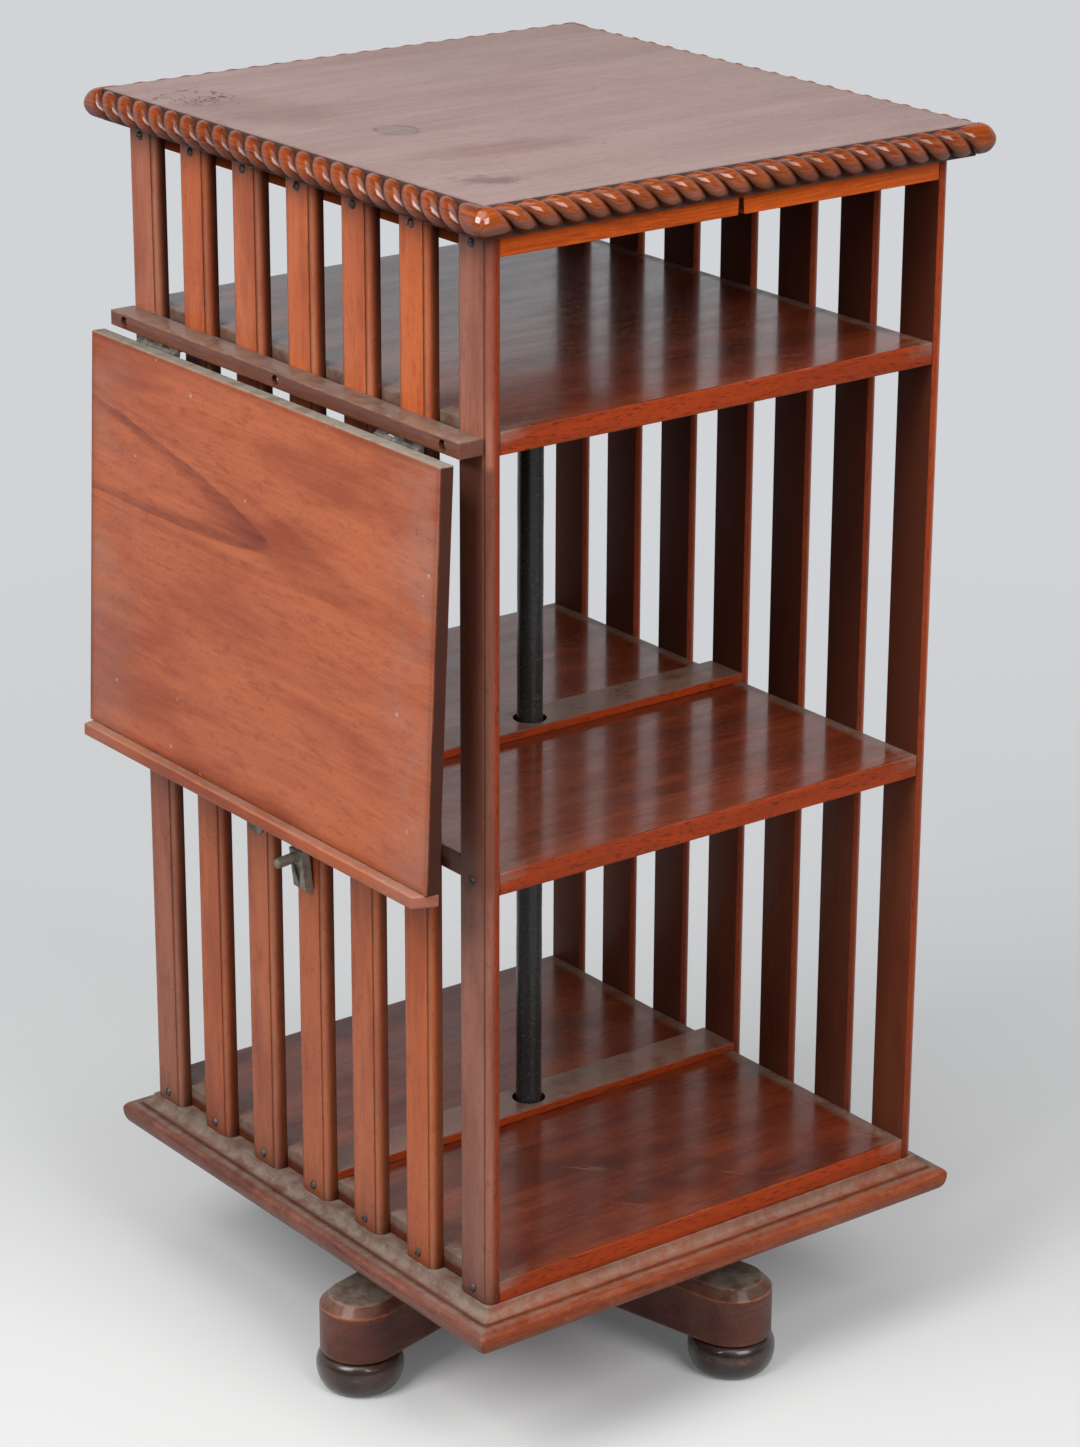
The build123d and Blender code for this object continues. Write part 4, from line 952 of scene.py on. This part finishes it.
def slat(width, thick, tall, dark):
    """Loops of a slat, its section carried upwards: flat inner face, narrow edges, a convex quarter
    ellipse, a small step and the flat outer face, the same on both sides. The first and second narrow
    edge are as dark as the inner face where the pair says so, and bright as a shelf's edge otherwise.
    Dark edges go with a hazy line on the bead, partly hazy polish and partly a painted highlight, and with darker wood
    where the reading board covers it: wood kept from fading, and a painted shadow of the board."""
    arris, half, step, narrow = sizes().slat_arris, width / 2, 0.0008, 0.004
    face = half - 0.0055  # half the width of the flat outer face
    turn, bow = np.linspace(0, pi / 2, 3), np.linspace(0, pi / 2, 7)
    inner = np.stack([arris - arris * np.cos(turn), half - arris + arris * np.sin(turn)], -1)
    ovolo = np.stack([narrow + (thick - step - narrow) * np.sin(bow), face + (half - face) * np.cos(bow)], -1)
    shoulder = np.array(((-step - 0.0003, -0.0001), (-0.0003, -0.0003), (0, -0.0009), (0, -0.0026))) + (thick, face)
    one = np.concatenate([inner, ovolo, shoulder])
    section = np.concatenate([one, one[::-1] * (1, -1)])
    head = tall - np.array((0.034, 0.014, 0.001, 0))
    level = np.r_[0, 0.001, 0.010, 0.035, 0.12, 0.28, 0.355, 0.375, 0.715, 0.722, head]
    # Darker towards the foot and the head of the slat.
    feet = np.array((0.75, 0.75, 0.55, 0.36, 0.24, 0.15, 0.1, 0.1, 0, 0, 0, 0.15, 0.3, 0.3))[:, None]
    # Painted shadow of the reading board on the slats behind it, also standing for wood that the board kept from
    # fading: shade and darkening from about level 0.375 to 0.715.
    unfaded_and_shadowed = np.array((0, 0, 0, 0, 0, 0, 0.15, 0.45, 0.45, 0, 0, 0, 0, 0))[:, None] * any(dark)
    # The painted shade of the inner faces is lighter in the lower tier.
    tier = np.where(level < 0.36, 0.76, 1.0)[:, None]
    every = np.ones_like(feet)
    plain = np.zeros(len(one) - 7)
    shades = {True: np.r_[1.0, 1.0, 1.0, 0.95, 0.75, 0.35, 0, plain], False: np.r_[1.0, 0.5, 0.1, 0, 0, 0, 0, plain]}
    edges = {True: np.zeros(len(one)), False: np.r_[0, 0.7, 0.9, 0.9, 0.5, 0, 0, plain]}
    wear = np.array((0.3, 0.8, 0.6, 0.6, 0.2, 0.2, 0.2, 0.2, 0, 0, 0, 0.8, 0.8, 0.1))
    dirt = np.array((0, 0, 0, 0, 0, 0, 0, 0, 0.3, 0.85, 0.85, 0.3, 0, 0))
    # Greyish line on the bead of each dark side, put on with the dust colour: partly hazy polish, partly a painted
    # highlight of the polish.
    haze_and_highlight = np.array((0, 0, 0, 0, 0, 0, 0.2, 0.6, 0.15, 0, 0, 0, 0, 0))
    shade, edge = (np.r_[way[dark[0]], way[dark[1]][::-1]] * every for way in (shades, edges))
    marks = {
        "shade": np.maximum(shade * tier, unfaded_and_shadowed * (1 - 0.9 * edge)),
        "edge": edge,
        "wear": mirrored(wear) * every,
        "dirt": np.maximum(np.maximum(mirrored(dirt), feet), unfaded_and_shadowed * 0.6 * (1 - edge)),
        "dust": np.r_[haze_and_highlight * dark[0], haze_and_highlight[::-1] * dark[1]] * every,
    }
    return lifted(np.broadcast_to(section, (len(level), *section.shape)), level), marks


class BOOKCASE_OT_plinth(bpy.types.Operator):
    """The mitred plinth mouldings"""

    bl_idname = "bookcase.plinth"
    bl_label = "Plinth"

    def execute(self, context):
        low, high = box("bottom_shelf")
        half = np.array((box("slat_right_1")[1][0], high[1]))
        profile, marks = plinth_profile()
        dust = marks.pop("dust")
        for side, outward in SIDES.items():
            run, stand = half if outward[1] else half[::-1]
            rows = mitred(profile, run, sizes().plinth_corner, outward, outward * stand + UP * low[2])
            tone, share = (0.8, 0.7) if side == "front" else (0.1, 1.0)
            piece = skin(f"worn_plinth_{side}", rows, tone=tone, dust=dust * share, **marks)
            dress(piece, "case", "plinth_wood", wood("plinth_wood", "x" if outward[1] else "y"), f"plinth_{side}")
        return {"FINISHED"}


def plinth_profile():
    """Section of the plinth, out and up from the slats' foot: flat, concave cove, fillet, sloping ledge, convex nose,
    undercut and the hidden inside, with its dust, wear, and darkening in the quirks and under the nose."""
    quarter = np.linspace(0, pi / 2, 7)
    cove = np.stack([0.011 - 0.009 * np.cos(quarter), -0.0085 * np.sin(quarter)], -1)
    fillet = ((0.0112, -0.0088), (0.0112, -0.0100), (0.0118, -0.0104))
    nose = np.stack([0.0145 + 0.0095 * np.sin(quarter), -0.0165 + 0.006 * np.cos(quarter)], -1)
    under = np.stack([0.0175 + 0.0065 * np.cos(quarter), -0.0165 - 0.0135 * np.sin(quarter)], -1)
    inside = ((0.0178, -0.0296), (0.0170, -0.03), (-0.03, -0.03))
    profile = np.concatenate([((-0.03, 0), (0.0015, 0)), cove, fillet, nose, under[1:-1], inside])
    out, up = profile.T

    def near(centre_out, wide, centre_up=0.0, tall=np.inf):
        """Bell curve about a place of the section."""
        return np.exp(-(((out - centre_out) / wide) ** 2) - ((up - centre_up) / tall) ** 2)

    ledge = (out > 0.0123) * (out < 0.0175) * (up > -0.012)
    dust = (up > -0.0084) * (out > 0.0005) * np.clip(1.25 - out / 0.013, 0, 1) + 0.45 * ledge
    wear = near(0.0225, 0.003) + 0.8 * near(0.0112, 0.0009, -0.0088, 0.001)
    quirks = np.maximum(near(0.0118, 0.0009, -0.0104, 0.0008), 0.6 * near(0.0106, 0.0005, -0.0085, 0.0004))
    dirt = np.maximum(quirks, np.clip((-0.022 - up) / 0.008, 0, 1) * 0.6 * (out > 0.01))
    return profile, {"dust": dust, "wear": np.clip(wear, 0, 1), "dirt": dirt * 0.9}


class BOOKCASE_OT_lectern(bpy.types.Operator):
    """The reading board with its ledge and the rail that it hangs from"""

    bl_idname = "bookcase.lectern"
    bl_label = "Reading board"

    def execute(self, context):
        hinge = np.array(next(j for j in frame["joints"] if j["name"] == "lectern_tilt")["pos_m"], float)
        out, rise = np.array((-cos(HANG), 0, sin(HANG))), np.array((sin(HANG), 0, cos(HANG)))
        side = np.array((0.0, 1.0, 0.0))
        low, high = box("lectern_board")
        half = (high[1] - low[1]) / 2
        rows, worn = slab(half, 0.1745, 0.013, 0.0014, 0.0016)
        piece = skin(
            "reading_board",
            lay(rows, hinge + out * 0.004 - rise * 0.173, side, rise, out),
            tone=0.62,
            wear=worn["wear"],
            # The board's sides are darkened by both marks: painted shade.
            shade=np.maximum(worn["side"], np.clip(worn["wear"], 0, 0.3) * 1.2),
            dirt=worn["side"] * 0.5,
            dust=np.clip((rows[..., 1] - 0.1732) / 0.0008, 0, 1) * 1.8,
        )
        dress(piece, "lectern", "lectern_wood", wood("lectern_wood", "y"), "lectern_board")
        deep = 0.0115  # half the depth of the ledge, whose ends are drawn in towards its front
        rows, worn = slab(half, deep, 0.0108, 0.0016, 0.0016)
        pull = np.clip((rows[..., 1] + deep) / (2 * deep), 0, 1) * 0.0065
        rows[..., 0] -= pull * np.sign(rows[..., 0])
        piece = skin(
            "reading_ledge",
            lay(rows, hinge + out * 0.0155 - rise * 0.3583, side, out, rise),
            tone=0.4,
            wear=worn["wear"],
            shade=0.22,
            dust=(rows[..., 2] > 0.0105) * 0.65,
        )
        dress(piece, "lectern", "lectern_wood", wood("lectern_wood", "y"), "lectern_ledge")
        low, high = box("lectern_rail")
        for number, (part, worn) in enumerate(drilled_rail(low, high), start=1):
            dust = np.clip((part[..., 2] - high[2] + 0.0006) / 0.0004, 0, 1) * 0.6
            piece = skin(f"drilled_rail_{number}", part, wear=worn, tone=0.5, dust=dust, dirt=(worn < 0) * 1.0)
            dress(piece, "case", "lectern_wood", wood("hinge_rail_wood", "y"), "lectern_rail")
        return {"FINISHED"}


def drilled_rail(low, high):
    """Loops and wear of the lectern rail in three lengths, each with one sunk hole in its outer face: from
    the hole's floor out along its wall, over the outer face to the rounded arris, and back along the
    sides to the inner face. Edges between two lengths stay square."""
    joints = np.array((low[1], -0.115, 0.115, high[1]))
    radius, deep, arris, between = 0.0048, 0.010, sizes().arris, 8
    turn = np.linspace(0, pi / 2, 4)
    drawn_in, climb = arris * (1 - np.sin(turn)), arris * (1 - np.cos(turn))
    inset = np.r_[0.0014, drawn_in, 0, drawn_in[::-1]]
    level = np.r_[deep, 0, 0, climb, 0.012, 0.024 - climb[::-1]]
    wear = np.r_[-1.0, 0.2, 0.3, 0.8, 1, 1, 0.8, 0.1, 0.3, 0.3, 0.3, 0.3][:, None]
    rim = rim_points(radius, between)
    parts = []
    for number, hole in enumerate(RAIL_SCREWS):
        start, stop = joints[number] + inset * (number == 0), joints[number + 1] - inset * (number == 2)
        half_z = (high[2] - low[2]) / 2 - inset
        flat = rectangle((stop - start) / 2, half_z, np.full(len(inset), 0.0003), between)
        flat[..., 0] += ((stop + start) / 2)[:, None] - hole
        rows = lifted(np.concatenate([rim[None], rim[None], flat]), level)
        parts.append((lay(rows, (low[0], hole, (low[2] + high[2]) / 2), (0, 1, 0), UP, (1, 0, 0)), wear))
    return parts


class BOOKCASE_OT_base(bpy.types.Operator):
    """Crossed foot bars, bun feet and the column"""

    bl_idname = "bookcase.base"
    bl_label = "Base and column"

    def execute(self, context):
        low, high = box("foot_bar_lower")
        rows, wear, dust = foot_cross(low[2], high[2])
        piece = skin("foot_cross", rows, wear=wear, dust=dust, tone=0.15)
        dress(piece, "base", "foot_wood", wood("foot_wood"), "foot_bar_lower", "foot_bar_upper")
        profile, wear = bun_profile()
        for number in range(1, 5):
            low, high = box(f"bun_foot_{number}")
            rows = lathe(profile, (*(low + high)[:2] / 2, 0), 64)
            piece = skin(f"turned_bun_{number}", rows, wear=wear[:, None], tone=rng.random())
            dress(piece, "base", "bun_wood", wood("bun_wood", "z"), f"bun_foot_{number}")
        low, high = box("column")
        level = np.r_[low[2], np.linspace(low[2] + 0.002, high[2] - 0.002, 60), high[2]]
        chamfer = np.where((level <= low[2]) | (level >= high[2]), 0.0014, 0)
        width = (high[0] - low[0]) / 2 - 0.00012 * (1 + np.sin(level * 90)) - chamfer
        piece = skin("iron_column", lathe(np.stack([width, level], -1), (0, 0, 0), 48))
        dress(piece, "base", "black_iron", metal("speckled_iron"), "column")
        return {"FINISHED"}


def foot_cross(low, high):
    """Loops of the crossed foot bars from their underside up: the outline of a cross with half-round
    ends, drawn in by a growing inset over the lower arris, the sides, the chamfer and the top."""
    r = sizes().bar_arris
    half, reach, chamfer = 0.035, 0.2315, 0.009
    shoulder = high - chamfer
    lower = np.array(((0.014, 0), (0.003, 0), (r, 0), (0.35 * r, 0.35 * r), (0, r), (0, 0.006))) + (0, low)
    flank = np.array(((0, -0.006), (0, -0.7 * r), (0.25 * r, 0.05 * r), (0.8 * r, 0.7 * r))) + (0, shoulder)
    upper = np.array(((-0.8 * r, -0.9 * r), (-0.2 * r, -0.2 * r), (0.5 * r, 0), (0.004, 0), (0.014, 0)))
    inset, level = np.concatenate([lower, flank, upper + (chamfer, high)]).T
    wear = np.array((0, 0.1, 0.5, 0.8, 0.5, 0.1, 0.05, 0.5, 1.0, 0.5, 0.5, 1.0, 0.5, 0.1, 0))
    dust = np.array((0, 0, 0, 0, 0, 0, 0, 0, 0, 0.05, 0.2, 0.5, 0.8, 0.9, 0.9))
    angle = np.linspace(-pi / 2, pi / 2, 25)
    b = (half - inset)[:, None]
    arm_x = np.concatenate([b, reach + b * np.cos(angle)], 1)
    arm_y = np.concatenate([-b, b * np.sin(angle)], 1)
    turn = CROSS_TURN + np.arange(4) * pi / 2
    c, s = np.cos(turn)[:, None, None], np.sin(turn)[:, None, None]
    arms = np.stack([c * arm_x - s * arm_y, s * arm_x + c * arm_y], -1)
    flat = arms.transpose(1, 0, 2, 3).reshape(len(inset), -1, 2)
    return lifted(flat, level), wear[:, None], dust[:, None]


def bun_profile():
    """Section of a bun foot, radius and height: flat floor, quarter ellipse out to the belly, quarter
    ellipse in to the neck, neck and peg, with the wear on the belly."""
    belly = 0.0215
    quarter = np.linspace(0, pi / 2, 12)
    lower = np.stack([0.026 + 0.0125 * np.sin(quarter), belly * (1 - np.cos(quarter))], -1)
    upper = np.stack([0.031 + 0.0075 * np.cos(quarter), belly + 0.012 * np.sin(quarter)], -1)
    peg = ((0.031, 0.0349), (0.012, 0.035), (0.010, 0.0352), (0.010, 0.056))
    profile = np.concatenate([((0.010, 0), (0.025, 0)), lower, upper[1:], peg])
    return profile, np.exp(-(((profile[:, 1] - belly) / 0.006) ** 2)) * 0.8


class BOOKCASE_OT_fittings(bpy.types.Operator):
    """Screws, and the finish of the iron fittings"""

    bl_idname = "bookcase.fittings"
    bl_label = "Screws and fittings"

    def execute(self, context):
        seats, outs = [], []
        for wall, out in WALLS.items():
            low, high = box(f"slat_{wall}_1")
            face = low[0] if out < 0 else high[0]
            middles = [sum(box(f"slat_{wall}_{number}"))[1] / 2 for number in range(1, 8)]
            seats += [(face, y, z) for z in SLAT_SCREWS[wall] for y in middles]
            outs += [out] * (len(seats) - len(outs))
        rows, dirt = screw_heads(np.array(seats), outs, 0.0039, 0.0026)
        dress(skin("slat_screw_heads", rows, dirt=dirt), "case", "screw_steel", metal("dull_steel"), "slat_screws")
        sunk = np.array([(-0.2485, y, 0.8996) for y in RAIL_SCREWS])
        rows, dirt = screw_heads(sunk, [-1.0] * len(sunk), 0.0042, 0.0080)
        dress(skin("rail_screw_heads", rows, dirt=dirt), "case", "screw_steel", metal("rubbed_steel"), "rail_screws")
        finishes = {
            "speckled_iron": ("column_flange", "bearing_plate", "guide_collar"),
            "dull_steel": ("flange_screws", "fitting_screws", "lectern_screws"),
            "dusty_hinge": ("hinge_rail_leaves", "hinge_board_leaves", "hinge_pins"),
            "browned_stay": ("stay_strut", "stay_bracket", "stay_pin", "stay_rack", "rub_plate"),
        }
        for finish, nodes in finishes.items():
            for name in nodes:
                solid = frame["nodes"][name]
                solid.data.materials.clear()
                solid.data.materials.append(metal(finish))
        return {"FINISHED"}


def screw_heads(seats, outs, radius, dome):
    """Loops of round screw heads on upright faces: chords across the head, each a dome line that rises
    as a half ellipse, sunk between the two edges of the slot, over a base line just inside the face.
    Slots stand at seeded angles."""
    across = np.array((-1, -0.93, -0.78, -0.55, -0.3, -0.125, -0.12, 0.12, 0.125, 0.3, 0.55, 0.78, 0.93, 1)) * radius
    chord = np.sqrt(np.maximum(radius**2 - across**2, (0.12 * radius) ** 2))
    step = np.sin(np.linspace(-pi / 2, pi / 2, 11))
    x, y = across[:, None] * np.ones(len(step)), chord[:, None] * step
    z = dome * np.sqrt(1 - np.clip((x**2 + y**2) / radius**2, 0, 1))
    slot = np.abs(x) < 0.122 * radius
    z = np.where(slot, np.minimum(z, dome - 0.0009), z)
    base = np.stack([x, y, np.full_like(x, -0.0008)], -1)[:, ::-1]
    x, y, z = np.moveaxis(np.concatenate([np.stack([x, y, z], -1), base], 1), -1, 0)
    dirt = np.concatenate([slot * 1.0, np.zeros(slot.shape)], 1)
    spin = rng.random(len(seats))[:, None, None] * pi
    u, v = np.cos(spin) * x - np.sin(spin) * y, np.sin(spin) * x + np.cos(spin) * y
    out = np.asarray(outs)[:, None, None]
    return np.stack([out * z, -out * u, v], -1) + seats[:, None, None, :], dirt


# Stage


class BOOKCASE_OT_stage(bpy.types.Operator):
    """Floor, lamps and camera"""

    bl_idname = "bookcase.stage"
    bl_label = "Stage"

    def execute(self, context):
        scene, stage = context.scene, context.scene.bookcase_stage
        scene.view_settings.view_transform = "Standard"
        yaw, dip, roll = stage.camera_turn, stage.camera_dip, stage.camera_roll
        sight = np.array((sin(yaw) * cos(dip), cos(yaw) * cos(dip), -sin(dip)))
        right = np.array((cos(yaw), -sin(yaw), 0.0))
        turned = right * cos(roll) + np.cross(right, sight) * sin(roll)
        lens = bpy.data.cameras.new("photo_view")
        lens.sensor_fit, lens.sensor_height, lens.lens = "VERTICAL", 36.0, stage.lens
        axes = np.stack([turned, np.cross(turned, sight), -sight], 1)
        scene.camera = set_up("photo_view", lens, stage.camera_place, axes)
        lamps = (
            ("key_box", stage.key, (-3.1, -0.5, 3.3), 2.0),
            ("fill_box", stage.fill, (-0.1, -3.4, 3.0), 2.2),
            ("top_box", stage.high, (-0.8, -0.5, 3.5), 2.4),
        )
        aim = np.array((0, 0, 0.55))
        for name, power, place, width in lamps:
            lamp = bpy.data.lights.new(name, "AREA")
            lamp.energy, lamp.size, lamp.shape = power, width, "SQUARE"
            set_up(name, lamp, place, aimed(aim - place))
        floor = skin("pale_floor", floor_rows())
        floor.data.materials.append(floor_finish(stage))
        scene.world = room_light(stage)
        return {"FINISHED"}


def set_up(name, data, place, axes):
    """Object for a camera or a lamp, at a place, with its axes as the columns of a matrix."""
    made = bpy.data.objects.new(name, data)
    made.matrix_world = Matrix.Translation(place) @ Matrix(axes.tolist()).to_4x4()
    bpy.context.scene.collection.objects.link(made)
    return made


def aimed(direction):
    """Axes of a lamp that shines along a slanting direction, as the columns of a matrix."""
    back = -direction / np.linalg.norm(direction)
    side = np.cross(UP, back)
    side = side / np.linalg.norm(side)
    return np.stack([side, np.cross(back, side), back], 1)


def floor_rows():
    """Loops of a wide thin round floor: circles of growing radius above, and the rim below."""
    return lathe(((0.3, 0), (1, 0), (2, 0), (4, 0), (8, 0), (14, 0), (14, -0.01)), (0, 0, 0), 96)


def floor_finish(stage):
    """Matt pale floor, a little cloudy, which passes into the lit backdrop away from the object."""
    black = (0.0, 0.0, 0.0)
    material, shader, place = start_material("pale_floor")
    base = mix(smooth(noise(place, 1.2), 0.3, 0.7), [c * 0.97 for c in stage.floor], stage.floor)
    path = put("LightPath", {}, place.tree)
    backdrop = smooth(vector("LENGTH", place, result="Value"), -0.5, 2.6)
    connect(
        shader,
        {
            "Base Color": mix(backdrop, base, black),
            "Emission Color": mix(backdrop, black, stage.backdrop),
            "Emission Strength": maths("MAXIMUM", path["Is Camera Ray"], path["Is Glossy Ray"]),
            "Roughness": 0.7,
            "Specular IOR Level": 0.0,
        },
    )
    return material


def room_light(stage):
    """World: even light for the object, and the pale backdrop where the camera or a reflection sees it.
    Reflections of the room overhead and behind the camera are dim."""
    world = bpy.data.worlds.new("studio_room")
    world.use_nodes = True
    tree = world.node_tree
    tree.nodes.clear()
    path, way = put("LightPath", {}, tree), put("TexCoord", {}, tree)["Generated"]
    glossy = path["Is Glossy Ray"]
    low = smooth(put("SeparateXYZ", {0: way})[2], 0.66, 0.46)
    ahead = smooth(vector("DOT_PRODUCT", way, (0.6, 0.8, 0.0), "Value"), -0.25, 0.25)
    seen = maths("MAXIMUM", glossy * low * ahead, path["Is Transmission Ray"])
    seen = maths("MAXIMUM", path["Is Camera Ray"], seen)
    dim = glossy * (stage.dim_side - stage.sky) + stage.sky
    strength = put("Mix", {0: seen, 2: dim, 3: 1.0}, data_type="FLOAT")[0]
    light = put("Background", {"Color": rgba(stage.backdrop), "Strength": strength})[0]
    put("OutputWorld", {0: light})
    return world


OPERATORS = (
    BOOKCASE_OT_top,
    BOOKCASE_OT_case,
    BOOKCASE_OT_slats,
    BOOKCASE_OT_plinth,
    BOOKCASE_OT_lectern,
    BOOKCASE_OT_base,
    BOOKCASE_OT_fittings,
    BOOKCASE_OT_stage,
)
GROUPS = {"bookcase_sizes": BookcaseSizes, "bookcase_colours": BookcaseColours, "bookcase_stage": BookcaseStage}


class BOOKCASE_PT_panel(bpy.types.Panel):
    """Pieces and settings of the bookcase"""

    bl_idname = "BOOKCASE_PT_panel"
    bl_label = "Revolving bookcase"
    bl_space_type = "VIEW_3D"
    bl_region_type = "UI"
    bl_category = "Bookcase"

    def draw(self, context):
        for operator in OPERATORS:
            self.layout.operator(operator.bl_idname)
        for key, kind in GROUPS.items():
            column = self.layout.column()
            for name in kind.__annotations__:
                column.prop(getattr(context.scene, key), name)


def register():
    """Registers the classes and the scene's settings."""
    for kind in (*GROUPS.values(), *OPERATORS, BOOKCASE_PT_panel):
        bpy.utils.register_class(kind)
    for key, kind in GROUPS.items():
        setattr(bpy.types.Scene, key, bpy.props.PointerProperty(type=kind))


def unregister():
    """Takes the classes and the settings away again."""
    for key in GROUPS:
        delattr(bpy.types.Scene, key)
    for kind in (BOOKCASE_PT_panel, *OPERATORS[::-1], *GROUPS.values()):
        bpy.utils.unregister_class(kind)


def main():
    """Makes every piece and the stage."""
    register()
    bpy.ops.bookcase.top()
    bpy.ops.bookcase.case()
    bpy.ops.bookcase.slats()
    bpy.ops.bookcase.plinth()
    bpy.ops.bookcase.lectern()
    bpy.ops.bookcase.base()
    bpy.ops.bookcase.fittings()
    bpy.ops.bookcase.stage()


if __name__ == "__main__":
    main()
